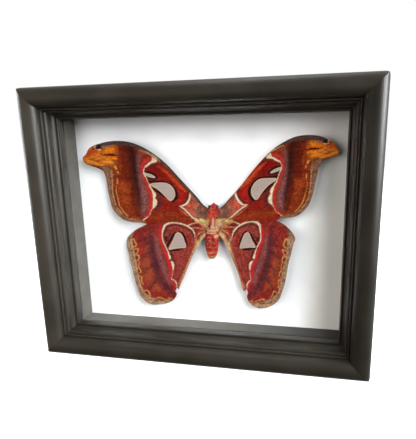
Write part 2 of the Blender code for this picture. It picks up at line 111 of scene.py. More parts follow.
# Streaks of scales fan out from here in the left wings' plane, and their noise runs slowly along
# them, per millimetre, and fast across them, per radian
FAN_CENTRE = (14.0, 8.0)
STREAK_ALONG = 0.05
STREAK_ACROSS = 26.0

FOREWING_LEFT = (
    (9, 16.5, "corner"), (4.5, 18.8), (-5, 29.3), (-20, 45.6), (-33, 59.2), (-46, 69.3), (-56, 75),
    (-66, 78.7), (-78, 80.4), (-88, 80.1), (-98, 78.3), (-106, 76), (-111, 73), (-113.6, 68.8),
    (-117.6, 64.4), (-116.4, 60.8), (-111, 57.8), (-102, 54.8), (-97.2, 52), (-95.2, 47), (-94.2, 37.5),
    (-92.6, 25.5), (-89.6, 14.8), (-83, 7.8), (-78.5, 4.6), (-70, 3), (-59, 2.3),
    (-55.5, 1.5, "corner"), (-45, 2.8), (-30, 4.2), (-14, 4.8), (9, 7, "corner"),
)
FOREWING_RIGHT = (
    (13, 16, "corner"), (17.8, 18.3), (27, 27.3), (38, 39.3), (48, 51.8), (57, 62), (66, 70.6),
    (76, 77.1), (86, 81.4), (97, 82.7), (107, 81.4), (114.5, 78), (119.6, 73.9), (121.5, 70.7),
    (123, 68.3), (121, 65.3), (115, 63.2), (109.5, 60.5), (106.5, 56), (105.4, 49), (103.8, 41),
    (102, 31.5), (98.8, 22.5), (92.5, 14.8), (87, 11.6), (80, 10.3), (73, 9.1), (70.3, 8, "corner"),
    (60, 7.2), (45, 6.7), (30, 6.4), (13, 7, "corner"),
)
HINDWING_LEFT = (
    (8, 4, "corner"), (0, 8.6), (-20, 11), (-40, 8.2), (-52, 3.4), (-58, 0), (-66, -3.8), (-73, -8.9),
    (-77.4, -13.5), (-79, -20), (-77.4, -28.5), (-75.8, -38.5), (-73.8, -49.5), (-71.8, -59.5),
    (-69.6, -69), (-65.5, -76.5), (-58.5, -81.9), (-50, -82.2), (-40, -80.2), (-33, -76.6),
    (-29.2, -71.4), (-28.6, -69.4), (-29.9, -67), (-29, -64.6), (-27.8, -62.6, "corner"),
    (-26.4, -64.8, "corner"), (-24.9, -61), (-21, -52.6), (-17, -44), (-13.6, -36.2), (-10.6, -29.3),
    (-6.3, -22), (-2.4, -15.4), (0.4, -11.7), (8, -8, "corner"),
)
HINDWING_RIGHT = (
    (13, 4, "corner"), (22, 9.6), (40, 12.4), (58, 11.5), (66, 9.4), (70.3, 7.4), (75, 5.2),
    (80.9, 0.7), (85.4, -4.3), (87.6, -9), (86.3, -13.5), (84.1, -23.7), (81.7, -33.7), (80.4, -43),
    (78.8, -52.5), (76.3, -61.4), (73.4, -69), (67.5, -75), (60, -78.6), (53, -79.1), (47.5, -76.6),
    (43.7, -71.9), (42.4, -67.8), (43.6, -63.6), (42.4, -60.4, "corner"), (39.4, -63, "corner"),
    (37.2, -58.3), (35.5, -50), (32.5, -40.6), (28, -30.1), (24, -20.2), (20.5, -13.6), (17.8, -9.9),
    (13, -6, "corner"),
)

# Landmarks that both sides share, each as ((left x, z), (right x, z))
FOREWING_PAIRS = (
    ((4.5, 18.8), (17.8, 18.3)), ((0, 5.2), (20, 6.4)), ((-12, 31), (34, 33.5)),
    ((-21.5, 19.7), (43.8, 21.4)), ((-25.3, 32), (47.3, 34.5)), ((-29.8, 24.7), (51.8, 26.5)),
    ((-30.7, 40.3), (53, 44.3)), ((-49.1, 38.6), (69.7, 44)), ((-43, 64.5), (62, 66.8)),
    ((-65, 78.4), (82, 80)), ((-100.5, 75.5), (112, 77.5)), ((-117.8, 63.6), (123, 68.3)),
    ((-98, 53), (108.5, 59.5)), ((-94.2, 37.5), (104, 42)), ((-92, 24), (101, 28)),
    ((-81.5, 6.5), (91, 13.5)), ((-55.5, 1.5), (72, 8.8)), ((-30, 4.2), (46, 6.7)),
    ((-87.5, 67), (101.5, 70.5)), ((-83.5, 55.5), (97, 60)), ((-43.5, 46.5), (64, 50.5)),
    ((-53.5, 49.5), (73, 54.5)), ((-43.5, 28), (63.5, 32.5)), ((-44, 21), (63, 25.5)),
)
HINDWING_PAIRS = (
    ((0.4, -11.7), (18.5, -10.2)), ((-27.8, -62.6), (42.4, -60.4)), ((-26.4, -64.8), (39.4, -63)),
    ((-55.5, 1.5), (70.3, 7.4)), ((-77.5, -13.8), (87.3, -8)), ((-55, -82.5), (55.5, -79.3)),
    ((-71.8, -59.5), (76.8, -59.5)), ((-28.6, -69.4), (42.4, -67.8)), ((-23.5, -6.8), (42.5, -4.8)),
    ((-34.5, -23), (50.7, -18)), ((-17, -20.5), (36, -19.5)), ((-28, 3), (48, 5.8)),
    ((-7.5, -9), (28.5, -8.5)), ((-41, -10), (56, -9)), ((-33, -31), (48.7, -27.5)),
    ((-30, -42), (44.8, -38)), ((-33, -53.5), (46.5, -50.5)), ((-13.6, -36.2), (30.5, -36.5)),
    ((-75.8, -38.5), (81.3, -36.5)), ((-67, -74), (70.5, -72.7)), ((-71, -14), (79, -9.5)),
    ((-66, -32), (76, -28)), ((-59.5, -69), (69, -62)), ((-47, -74.5), (57, -70)),
)

# Veins of the left wings, from the root outwards
FOREWING_VEINS = (
    ((4, 17.6), (-8, 29.6), (-30, 53.5), (-46, 66.6), (-62, 75.4), (-82, 78.4)),
    ((3, 14.5), (-12, 29), (-30, 47.5), (-44, 58.5), (-62, 70), (-84, 76), (-106, 74.8)),
    ((-38, 53.5), (-58, 61.5), (-80, 66.5), (-100, 66.5), (-116, 64)),
    ((-34, 47.5), (-56, 52.5), (-80, 56.5), (-97, 57)),
    ((-30, 44), (-50, 44), (-74, 46), (-95, 46.5)),
    ((-23, 36), (-23.5, 29), (-28, 23.5), (-56, 29), (-78, 31), (-93.2, 32)),
    ((3, 12), (-12, 18.5), (-28, 23.5), (-50, 21.5), (-72, 19.5), (-90.8, 18.5)),
    ((-12, 18.5), (-30, 15.5), (-52, 12.5), (-72, 10), (-83.5, 8.2)),
    ((3, 9), (-14, 9), (-34, 7.4), (-54, 5.2), (-70, 3.4)),
)
HINDWING_VEINS = (
    ((4, 1), (-14, 5.6), (-34, 5.4), (-54, 0.6), (-75.6, -11.6)),
    ((4, 0), (-10, 1.6), (-24, -2.4), (-46, -8), (-66, -16), (-78.6, -22)),
    ((-24, -2.4), (-36, -14.5), (-56, -27), (-76.4, -36)),
    ((-16, -12), (-22, -23), (-38, -31), (-56, -42), (-73.6, -50.5)),
    ((4, -1.5), (-8, -5), (-16, -12), (-24, -29), (-38, -46), (-54, -62), (-68, -72.5)),
    ((-12, -9), (-18, -28), (-28, -46), (-42, -64), (-54, -82)),
    ((3, -3.5), (-5, -11), (-13, -28), (-21, -44), (-28.6, -60), (-34, -77)),
)

# Crisp markings of the left forewing. A mark with (x, z, half width) points is a stroke, and one with
# (x, z) points is a closed patch.
FOREWING_MARKS = {
    "cream": (
        # costal triangle and the line that runs down from it
        ((-49.5, 59.2), (-45.5, 59.7), (-41.5, 60.5), (-41, 62.3), (-43.5, 64), (-46.2, 65.6),
         (-46.6, 63.4), (-47.4, 61.6)),
        ((-47.6, 60.4, 1.2), (-50.2, 58.4, 1.3), (-52.6, 56.8, 1.1), (-54.4, 55.2, 0.8),
         (-55.3, 52.5, 0.7), (-54.9, 49.6, 0.9), (-53.6, 47, 0.7), (-52, 43.6, 0.7), (-50.6, 40.4, 0.7),
         (-49.6, 37.5, 0.9), (-47.8, 34.8, 1), (-46.9, 32.5, 1)),
        # two lobes
        ((-48.4, 35.2), (-46, 33.6), (-44.2, 31.2), (-43.8, 28.8), (-44.9, 27.2), (-43.4, 25.2),
         (-43, 22.4), (-44.2, 19.6), (-46.2, 17.6), (-48.6, 16.4), (-48.2, 20), (-47.7, 24),
         (-47.5, 28), (-47.9, 32)),
        ((-48.4, 16.8, 0.6), (-50.2, 14, 0.5), (-51.3, 11.2, 0.5), (-53.2, 8.9, 0.5), (-56, 7, 0.6),
         (-58.5, 5.2, 0.8)),
        # angled line near the root
        ((-10.6, 31.8, 0.6), (-10.8, 28.4, 1.1), (-12.2, 25, 1.1), (-14.6, 21.9, 1.1),
         (-17.4, 20.2, 0.9), (-21.2, 19.8, 0.5)),
        ((-21.6, 19.9, 0.5), (-18.6, 18, 0.8), (-14.4, 14.3, 0.9), (-10.4, 10, 0.9), (-6.6, 6.9, 1),
         (-3.6, 5, 1.2)),
        # crescents round the tip's eyespot
        ((-105, 74.9, 0.3), (-103.8, 75.5, 0.8), (-102.2, 76.2, 0.5)),
        ((-103.6, 73.6, 0.35), (-102.4, 72.6, 0.3), (-100.8, 72.3, 0.5), (-99, 72.3, 0.9),
         (-97.6, 72.7, 0.6)),
    ),
    "black": (
        ((-53.8, 51.7, 0.6), (-50.4, 51.2, 0.75), (-47, 50, 0.75), (-44.2, 48.2, 0.8),
         (-42.6, 46.5, 0.8), (-43.8, 45.4, 0.55), (-46.4, 45.2, 0.65), (-50, 45.8, 0.95),
         (-52.6, 47.1, 0.6)),
        ((-50, 42.2, 0.9), (-46, 42.4, 0.8), (-40, 42.5, 0.55), (-34, 42.2, 0.45), (-30, 40.6, 0.5),
         (-27, 38, 0.6), (-24.6, 34.4, 0.9), (-23.6, 31, 1.25), (-24.2, 27.6, 1.3), (-26, 25.2, 1.1),
         (-28.4, 24, 0.5)),
        ((-49.4, 38, 0.5), (-46.8, 36.4, 0.85), (-43.4, 34.3, 0.9), (-40, 31.6, 0.7), (-37, 29, 0.4),
         (-34.5, 26.8, 0.15)),
        ((-103.2, 73.5), (-102, 74.7), (-101, 76.8), (-98.4, 76.4), (-97, 74.6), (-97.6, 73.4),
         (-99.4, 73.7), (-101.2, 73.3)),
    ),
    "slit": (
        ((-95.6, 66.9, 0.1), (-92, 67.4, 0.7), (-88, 67.5, 1), (-84, 67.3, 0.95), (-80.6, 66.9, 0.2)),
        ((-106.8, 72.7, 0.5), (-105.4, 73.1, 0.8)),
    ),
    "red": (
        ((-46.9, 63.6, 0.2), (-49.6, 63.4, 1.5), (-52.4, 61.6, 1.5), (-55.2, 58.8, 1.5),
         (-56.8, 56, 1.1), (-57.1, 52.6, 0.9), (-56.5, 49, 0.9), (-55.2, 45.2, 0.95), (-53.8, 41.6, 1),
         (-52.4, 38.2, 1.1), (-50.7, 34.6, 1.3), (-49.5, 31.6, 1.3), (-49, 28, 1.3), (-49.2, 24, 1.3),
         (-49.9, 20, 1.3), (-51, 16, 1.2), (-52.6, 12.4, 1.1), (-54.8, 9.6, 1), (-57.5, 7.4, 0.8)),
    ),
    "yellow": (
        ((-85.2, 56.4, 0.4), (-83.8, 56, 1.3), (-83.2, 54.6, 1.2)),
        ((-82, 51.6, 0.9), (-81.6, 50.2, 0.6)),
        ((-83, 44.8, 0.5), (-82.9, 42.6, 0.7), (-83.4, 40.6, 0.4)),
        ((-84.6, 38, 0.3), (-84.9, 33, 0.4), (-84.2, 29, 0.4), (-83.6, 25, 0.5), (-82.6, 20, 0.5),
         (-80.2, 15.5, 0.5), (-78, 12.2, 0.45), (-74, 9, 0.3)),
        ((-115.8, 64.2, 0.4), (-112.4, 62.4, 0.6), (-107.4, 60.7, 0.6), (-103.4, 59.4, 0.55),
         (-99.4, 58.4, 0.5), (-95.6, 57.8, 0.35)),
        ((-100.5, 61, 0.2), (-96, 61.2, 0.6), (-91, 61.2, 0.8), (-87, 60.6, 0.8), (-85.6, 60, 0.4)),
        ((-113.2, 64.8, 0.25), (-109, 65.2, 0.3), (-104.6, 66.2, 0.4), (-100.4, 67.8, 0.25)),
        ((-104.5, 62.8, 0.2), (-101, 64, 0.4), (-97.5, 65.2, 0.4), (-93.5, 66, 0.25)),
    ),
    "brown": (
        ((-44.2, 33.4, 0.5), (-42.8, 30.8, 0.8), (-42.9, 28, 0.9), (-41.8, 25, 1), (-41.9, 21.5, 1),
         (-43.2, 18.4, 0.8), (-45.6, 16.2, 0.6), (-47.6, 14.2, 0.3)),
        ((-12.6, 31.2, 0.5), (-12.9, 28.2, 0.9), (-14.2, 25, 1.1), (-16.4, 22.5, 1.1),
         (-19.8, 21, 0.6)),
        ((-21.8, 18.4, 0.5), (-18.2, 16.1, 0.8), (-14, 12.5, 0.8), (-10, 8.7, 0.9), (-7.2, 6.2, 0.5)),
        ((-49, 57.4, 0.7), (-46.4, 58.7, 0.6), (-42.4, 58.9, 0.7), (-38.4, 57.4, 0.6)),
        ((-53.4, 53.4, 0.7), (-52.6, 55, 0.6), (-50.6, 56.2, 0.5)),
        ((-51.6, 44.4, 0.6), (-50.4, 43.4, 0.8)),
        ((-87.2, 57, 0.35), (-86.4, 50, 0.3), (-86.9, 42, 0.35), (-87.2, 34, 0.3), (-86.4, 26, 0.3),
         (-84.8, 19, 0.3), (-81.4, 13.2, 0.25), (-77, 9.4, 0.25), (-71, 6.6, 0.2)),
        ((-90.2, 53, 0.35), (-90, 44, 0.3), (-90.3, 35, 0.3), (-89.4, 25, 0.3), (-86.8, 17, 0.25),
         (-82.4, 11.4, 0.25)),
        ((-117.2, 61, 0.2), (-112, 58.4, 0.8), (-106, 56.7, 1.1), (-100.6, 54.9, 1.2),
         (-97.2, 52.6, 0.8), (-95.4, 47, 0.3)),
    ),
    "window": (
        ((-55.2, 50.6), (-52, 50.3), (-49, 49.6), (-46, 48.3), (-44, 46.9), (-43.7, 46.2), (-45, 45.9),
         (-48, 46.3), (-51, 47), (-53.8, 48.3)),
        ((-50, 39.5), (-48, 40.7), (-44, 41.3), (-38, 41.6), (-33, 41.1), (-29.5, 39.4), (-26.7, 36.4),
         (-25.1, 32.6), (-25.3, 29), (-27, 26), (-29.3, 24.4), (-31.5, 25), (-34, 27.5), (-38, 31.5),
         (-42, 34.8), (-46, 37.2)),
    ),
}

# Crisp markings of the left hindwing
HINDWING_MARKS = {
    "cream": (
        ((-7.6, -10.2, 0.5), (-8, -7, 0.8), (-9.6, -4, 0.9), (-13, -1.2, 0.9), (-17, 0.9, 0.9),
         (-22, 2.4, 0.9), (-28, 3, 0.9), (-33.6, 2.4, 1.1), (-37.6, 0, 1.2), (-39.6, -4.5, 1.1),
         (-40.8, -9.5, 0.8), (-40.6, -13.5, 0.8), (-39, -18, 0.8), (-37, -22.5, 0.8), (-35, -27.5, 0.9),
         (-33.8, -31.5, 0.8)),
        ((-35.2, -28.5), (-33, -29.5), (-32.4, -31.5), (-32.8, -33.5), (-34.6, -34), (-35.4, -31.5)),
        ((-33.5, -35.2), (-31, -35.6), (-29.4, -38), (-29.6, -41.5), (-30.4, -44.5), (-31.6, -45.5),
         (-31.9, -42), (-32.6, -38.5)),
        ((-31.4, -45, 0.5), (-32, -49, 0.4), (-33, -53.2, 0.5)),
        ((-33, -54.2, 0.5), (-30.4, -55.2, 0.7), (-28.6, -57.6, 0.7), (-28, -62, 0.6)),
        ((-1, 4.4, 0.8), (-8, 3, 0.6), (-14.5, 0.6, 0.6)),
    ),
    "black": (
        ((-27.3, -6.7, 0.4), (-29.6, -9.8, 0.9), (-32.4, -14.4, 1), (-35, -18.4, 1), (-36.6, -21, 0.7)),
        ((-23.4, -5.4, 0.4), (-20.4, -7.2, 0.8), (-18.3, -10.6, 0.8), (-16.8, -14.6, 0.8),
         (-15.9, -18.8, 0.5)),
        ((-35.4, -24.5, 0.9), (-31, -24.2, 0.8), (-26, -23.7, 0.9), (-20.6, -22.2, 0.5)),
    ),
    "slit": (
        ((-36.4, -15, 1.2), (-37, -11, 1)),
    ),
    "red": (
        ((-42.2, -3.2, 0.8), (-43, -8, 1.3), (-42.8, -14, 1.3), (-41.2, -19, 1.2), (-39.4, -24, 1.2),
         (-37.8, -28.5, 1.2), (-36.4, -33, 1.3), (-34.6, -38, 1.4), (-33.6, -43, 1.4),
         (-33.6, -48, 1.3), (-34.4, -52.5, 0.8)),
        ((-34.6, -55.8, 0.9), (-31.6, -56.6, 1.2), (-29.9, -58.8, 1), (-29.5, -62.6, 0.5)),
    ),
    "yellow": (
        ((-73.2, -15.2, 0.4), (-70.8, -14.4, 0.7), (-69.6, -17.2, 0.6), (-68.4, -19.2, 0.7),
         (-69.4, -21.6, 0.7), (-72.2, -22.6, 0.3)),
        ((-71.2, -24.8, 0.4), (-69, -24.4, 0.6), (-66.8, -24.2, 0.8), (-67.4, -27.2, 0.5),
         (-69, -29.6, 0.6), (-70.8, -30, 0.3)),
        ((-68.4, -30.4, 0.6), (-66.2, -31.6, 0.8), (-66.6, -34.8, 0.6), (-68.6, -36.6, 0.3)),
        ((-66.2, -37.2, 0.5), (-66.8, -40.2, 0.5), (-67.2, -43.4, 0.6), (-65.6, -45.6, 0.6),
         (-65.2, -48.4, 0.6), (-66.8, -49, 0.25)),
        ((-66.8, -52.2, 0.4), (-64.6, -53.2, 0.7), (-65.2, -56.4, 0.6), (-64.8, -59.6, 0.5),
         (-63.4, -61.2, 0.5)),
        ((-63.6, -68.6, 0.4), (-60.4, -67.2, 0.6), (-58.4, -68.2, 0.7), (-57.8, -70.4, 0.7),
         (-57, -72.8, 0.5)),
        ((-51, -75.2, 0.3), (-47.6, -74.4, 0.6), (-44.4, -74.8, 0.4), (-41, -75.8, 0.3)),
        ((-38, -74.8, 0.3), (-35.6, -74.3, 0.5), (-33.2, -74.8, 0.2)),
    ),
    "brown": (
        ((-9.4, -9.5, 0.9), (-10.8, -5.6, 1.1), (-14.2, -2.9, 1.1), (-19, -1, 1.1), (-25, 0.7, 1.1),
         (-31, 0.5, 1.1), (-35.2, -1.2, 1.1), (-37.6, -5, 1.1), (-38.9, -10, 1.1), (-37.8, -15, 1)),
        ((-33.2, -26, 0.9), (-31.2, -30, 1.2), (-30.6, -34, 1.1), (-28.2, -37.6, 0.8),
         (-28.4, -42, 0.7), (-29.4, -46, 0.5)),
        ((-71.9, -16.2, 0.7), (-71.3, -17.4, 0.7)),
        ((-71, -20.4, 0.9), (-70.6, -21.6, 0.6)),
        ((-69.8, -26.8, 0.9), (-69, -28, 0.7)),
        ((-68.8, -32.6, 0.9), (-68.6, -34, 0.9)),
        ((-67.2, -47, 0.8), (-66.8, -47.8, 0.7)),
        ((-66.8, -54.6, 0.6), (-66.6, -57, 0.6)),
        ((-61.4, -69.4, 0.8), (-59.8, -70.6, 0.7)),
        ((-43, -73.6, 0.6), (-40.8, -74, 0.7)),
        ((-76, -14, 0.2), (-75, -20, 0.3), (-73.8, -27, 0.3), (-72.8, -35, 0.25), (-71.4, -45, 0.25),
         (-70.2, -55, 0.25), (-68.4, -64, 0.25), (-64.4, -72.6, 0.3), (-58, -77.2, 0.35),
         (-50, -77.6, 0.45), (-42, -77, 0.3)),
    ),
    "window": (
        ((-24, -6.4), (-21.4, -7.6), (-19.6, -10.6), (-18, -15), (-16.8, -19.2), (-17.4, -21.2),
         (-20.5, -21.6), (-28, -22.7), (-34.8, -23.6), (-33.6, -20.6), (-30.4, -15), (-28.2, -10),
         (-26.6, -7.2)),
    ),
}

# Soft colour areas, painted in this order: (colour, softness in millimetres, stroke or patch)
FOREWING_AREAS = (
    ("dark_rust", 5, ((-66, 77), (-80, 78), (-82.5, 60), (-81, 46), (-66, 44))),
    ("ember", 6, ((-78, 40, 1), (-75, 30, 2), (-73, 22, 1))),
    ("ember", 2, ((-80.5, 66, 0.6), (-78, 58, 0.8), (-80, 50, 0.6))),
    ("dark_rust", 3, ((-72, 60, 1), (-71, 50, 2), (-74, 42, 1))),
    ("dark_rust", 3, ((-67, 40, 1), (-68, 28, 2), (-66, 16, 1.6), (-64, 10, 1))),
    ("maroon", 6, (
        (-67, 76, 3.2), (-65, 62, 4), (-63.6, 52, 4.6), (-62.6, 42, 4.6), (-61.6, 32, 4.4),
        (-60.4, 22, 3.8), (-59.8, 13, 2.6)
    )),
    ("frost", 4, (
        (-58.2, 69, 0.6), (-60, 62, 0.4), (-60.2, 54, 0.3), (-59.2, 47, 0.9), (-57.8, 40, 1.6),
        (-56.4, 33, 2.2), (-55.8, 27, 2.8), (-56, 21, 2.8), (-57.2, 15, 1.8), (-58.8, 11, 0.4)
    )),
    ("rust", 2.5, ((-72, 6, 1.5), (-64, 6.5, 2), (-58, 4, 1))),
    ("blood", 0.5, (
        (-49, 59.2), (-54.6, 54.6), (-54.6, 48), (-50.4, 40), (-46, 33), (-44, 28), (-43.6, 20),
        (-49.4, 14), (-57, 5), (-56, 0), (0, 0), (-3, 5), (-20, 19.2), (-12.4, 24), (-10.6, 30),
        (-12, 34), (-40, 60.8)
    )),
    ("wine", 3, ((-50, 54, 2), (-44, 53.5, 3.4), (-36, 48, 3))),
    ("rust", 4, ((-50, 8, 3.5), (-35, 9.5, 4.5), (-20, 8, 3), (-8, 3, 1))),
    ("scarlet", 3, ((-22, 34, 1), (-18, 29, 2.4), (-20, 24, 1.4))),
    ("flame", 1.5, (
        (-41, 57, 0.3), (-32, 50.3, 1.1), (-26, 44, 1.5), (-20, 38.2, 1.6), (-15.2, 33.8, 0.7)
    )),
    ("plum", 2.2, ((-41, 33, 0.8), (-40, 25, 1.8), (-42, 18, 1.2), (-46, 15, 0.5))),
    ("clay", 0.8, (
        (9, 20), (-10.8, 33.6), (-11.8, 27), (-14.5, 22.4), (-21, 19.5), (-4, 4.6), (9, 4.6)
    )),
    ("ash", 3, ((4, 13, 2.6), (-3, 13, 3), (-2, 20, 1.6))),
    ("ash", 2, ((-3, 24, 0.8), (-8.6, 27.6, 1.4), (-9.6, 23, 0.8))),
    ("ash", 1.6, ((-2, 8.6, 0.6), (-8, 10.2, 0.6), (-13, 14.6, 0.4))),
    ("coral", 1.4, ((-8.4, 25, 0.7), (-11, 20.5, 0.8), (-15, 17.2, 0.7))),
    ("coral", 1.2, ((-5, 9.4, 0.5), (-9, 12.2, 0.6))),
    ("tan", 1.2, ((-3.2, 22, 0.3), (-5.6, 18, 0.4))),
    ("rust", 3.5, ((-79, 76), (-90, 76), (-90, 58), (-82, 57), (-79, 64))),
    ("amber", 4.5, (
        (-84, 77), (-92, 76.4), (-98, 73), (-104, 76), (-110, 75), (-114.5, 69), (-119, 64.5),
        (-117, 59.5), (-106, 58.4), (-96, 57), (-86, 58), (-84, 64)
    )),
    ("flame", 2, ((-112.4, 68.6, 1.8), (-107, 70.6, 2.4), (-102, 69.6, 0.8))),
    ("scarlet", 0.6, ((-104, 71.6, 0.5), (-101.6, 71.5, 0.4))),
    ("marigold", 1, ((-95, 64.4, 0.5), (-88, 64.2, 0.9), (-82.2, 64.3, 0.7))),
    ("marigold", 1.2, ((-92, 72.4, 0.6), (-84, 73.4, 0.9))),
    ("marigold", 0.9, ((-116.6, 62.4, 0.4), (-110, 60.2, 0.6), (-101, 58.8, 0.5), (-94, 57.8, 0.4))),
    ("dark_rust", 0.9, ((-113, 65.6, 0.2), (-106, 63, 0.4), (-98, 60.9, 0.3))),
    ("ember", 0.9, ((-108, 67.8, 0.3), (-101, 66.2, 0.5), (-94, 62.2, 0.3))),
    ("dark_rust", 1, ((-98, 68.6, 0.3), (-91, 68.2, 0.5), (-84, 68.8, 0.3))),
    ("coral", 0.6, ((-113.4, 71, 0.4), (-114.6, 66.8, 0.5), (-116.8, 65.2, 0.3))),
    ("stone", 0.9, ((-97, 75, 0.7), (-92, 75.5, 0.7), (-87, 76.2, 0.3))),
    ("olive", 1.4, ((-96, 56.4, 0.8), (-91, 57, 0.8), (-88.4, 54, 0.8))),
    ("bark", 1, (
        (-98, 56), (-92, 56.4), (-87, 51), (-87.7, 42), (-88, 33), (-86.8, 24), (-84.2, 17.5),
        (-79.4, 11.5), (-72, 7.4), (-64, 5.4), (-57, 4.2), (-56, -2), (-100, -2), (-102, 50)
    )),
    ("tan", 0.9, (
        (-88.6, 52, 0.3), (-88.6, 42, 0.4), (-88.8, 33, 0.4), (-87.8, 24, 0.4), (-85.2, 16.8, 0.4),
        (-80, 10.6, 0.3)
    )),
    ("coffee", 0.8, (
        (6, 16.8, 2), (-5, 28.1, 1.5), (-20, 44.3, 1.5), (-33, 57.9, 1.5), (-46, 68, 1.4),
        (-56, 73.6, 1.5), (-66, 77, 1.7), (-78, 78.4, 1.8), (-88, 78.2, 1.7), (-97, 76.8, 1.2),
        (-103, 76.6, 0.5)
    )),
    ("sand", 0.8, (
        (-38.6, 61, 0.1), (-42, 64.2, 0.6), (-47, 67.4, 0.8), (-52, 69.6, 0.6), (-58, 72, 0.2)
    )),
    ("soot", 0.4, (
        (5, 18.6, 0.3), (-5, 29.3, 0.3), (-20, 45.6, 0.3), (-33, 59.2, 0.35), (-46, 69.3, 0.35),
        (-56, 75, 0.35), (-66, 78.7, 0.35), (-78, 80.4, 0.4), (-88, 80.1, 0.4), (-98, 78.3, 0.5),
        (-106, 76, 0.3), (-111, 73, 0.2)
    )),
)
HINDWING_AREAS = (
    ("copper", 6, ((-62, -34, 1), (-61, -46, 2), (-54, -62, 2))),
    ("copper", 3, ((-57, -24, 1.2), (-58, -29, 1.2))),
    ("copper", 3, ((-58, -37, 2), (-55, -49, 2.4))),
    ("copper", 3, ((-50, -62, 1.6), (-46, -67, 1.2))),
    ("umber", 5, (
        (-53, -3, 0.6), (-53, -12, 2.4), (-51.6, -20, 3.2), (-50.4, -30, 3.4), (-48.6, -40, 3.4),
        (-46.6, -50, 3.2), (-42, -58.5, 3.2), (-37, -64, 3.2), (-33, -70, 2)
    )),
    ("umber", 3, ((-64, -8, 0.2), (-58, -16, 0.8), (-60, -22, 0.4))),
    ("umber", 3.2, ((-56, -24, 0.4), (-59, -31, 0.6), (-64, -34, 0.2))),
    ("umber", 3, ((-52, -40, 0.6), (-57, -44, 0.6), (-62, -49, 0.2))),
    ("umber", 3, ((-48, -54, 0.8), (-53, -60, 0.8), (-57, -67, 0.3))),
    ("frost", 3.4, (
        (-47.6, -10, 0.4), (-46.8, -20, 1.4), (-44.8, -28, 1.8), (-42.6, -36, 2), (-40, -44, 2.1),
        (-38, -50, 1.6), (-35.4, -58.6, 0.6)
    )),
    ("sienna", 0.8, (
        (-8, -9), (-14, -2), (-28, 2.4), (-37, -0.6), (-40, -9), (-38, -20), (-33.6, -31), (-31, -42),
        (-32.6, -53.4), (-28, -57.6), (-26.4, -66), (-18, -50), (-10, -35), (-5, -20), (-6, -10)
    )),
    ("blood", 2.4, ((-14, -10, 1.2), (-12.5, -18, 1))),
    ("umber", 1.6, ((-32.6, -8, 0.8), (-34.8, -12.4, 1))),
    ("crimson", 1, ((9, 4), (-3, 4), (-14, 0), (-9.4, -4.2), (-7.6, -9), (-5.4, -14), (8, -8))),
    ("umber", 1.2, ((-5, 0.6, 0.4), (-9.6, -0.8, 0.6))),
    ("flame", 1.2, ((0, -2.6, 0.5), (-4.5, -5.5, 0.6))),
    ("tan", 1.2, ((4, -1.2, 0.9), (-0.5, -1.6, 0.5))),
    ("sand", 0.8, ((2, -2.6, 0.5), (-5, -1.6, 0.2), (-10, -1.4, 0.1))),
    ("sand", 0.8, ((2, -4.6, 0.5), (-4, -7.4, 0.2), (-6.6, -10.6, 0.1))),
    ("tan", 1.3, ((3, -6.6, 1.2), (-1.5, -9.6, 1))),
    ("sand", 1.5, (
        (2, -9, 1.8), (-3.6, -15.5, 1.8), (-8.6, -24, 1.4), (-12.8, -33, 1.1), (-17.4, -43, 0.9),
        (-21.6, -52, 0.8), (-25.6, -61.5, 0.4)
    )),
    ("sand", 1.6, ((-6.6, -12.6, 0.8), (-6, -16, 0.8))),
    ("fawn", 1, (
        (-69, -4), (-72.4, -12), (-71.6, -20), (-70.8, -28), (-69.6, -36), (-68.2, -46), (-66.8, -56),
        (-65.2, -64), (-60.6, -71.6), (-52, -76), (-42, -76.6), (-34, -75.6), (-29, -76), (-40, -90),
        (-70, -90), (-90, -60), (-90, -10)
    )),
    ("cocoa", 0.8, ((-53.6, 2.6, 0.2), (-60, -1.2, 0.4), (-67, -4.8, 0.4), (-73.4, -9.6, 0.3))),
)

# Colours of the scales, hairs and horn as they show in the light, red, green and blue out of 255
OVER_BRIGHT = 1.30
PALETTE = {
    "rust": (126, 44, 18), "dark_rust": (98, 26, 8), "ember": (146, 58, 18),
    "maroon": (34, 12, 8), "copper": (146, 66, 38), "frost": (88, 42, 42), "rime": (158, 104, 104),
    "blood": (124, 24, 14), "wine": (112, 10, 8), "scarlet": (158, 26, 18),
    "flame": (174, 62, 26), "plum": (80, 32, 34), "clay": (164, 76, 56), "ash": (100, 76, 66),
    "coral": (184, 66, 48), "tan": (176, 122, 84), "amber": (204, 104, 22),
    "marigold": (222, 116, 20), "stone": (132, 122, 114), "olive": (96, 60, 20),
    "bark": (134, 92, 68), "coffee": (76, 58, 50), "sand": (188, 148, 108), "soot": (48, 32, 34),
    "crimson": (130, 38, 32), "umber": (66, 34, 38), "sienna": (138, 52, 44),
    "fawn": (154, 118, 92), "cocoa": (112, 52, 42),
    "cream": (216, 196, 164), "black": (14, 10, 10), "slit": (56, 8, 8), "red": (174, 36, 38),
    "yellow": (208, 142, 62), "brown": (62, 32, 30), "window": (160, 142, 134),
    "window_rim": (182, 160, 132),
    "fur_red": (222, 52, 54), "fur_deep": (154, 22, 44), "fur_orange": (236, 120, 74),
    "fur_cream": (255, 232, 180), "fur_pale": (255, 232, 212), "fur_yellow": (248, 202, 112),
    "fur_dull": (142, 98, 74), "fur_tan": (176, 128, 96), "fur_brown": (104, 66, 54),
    "fur_ink": (42, 26, 44),
}

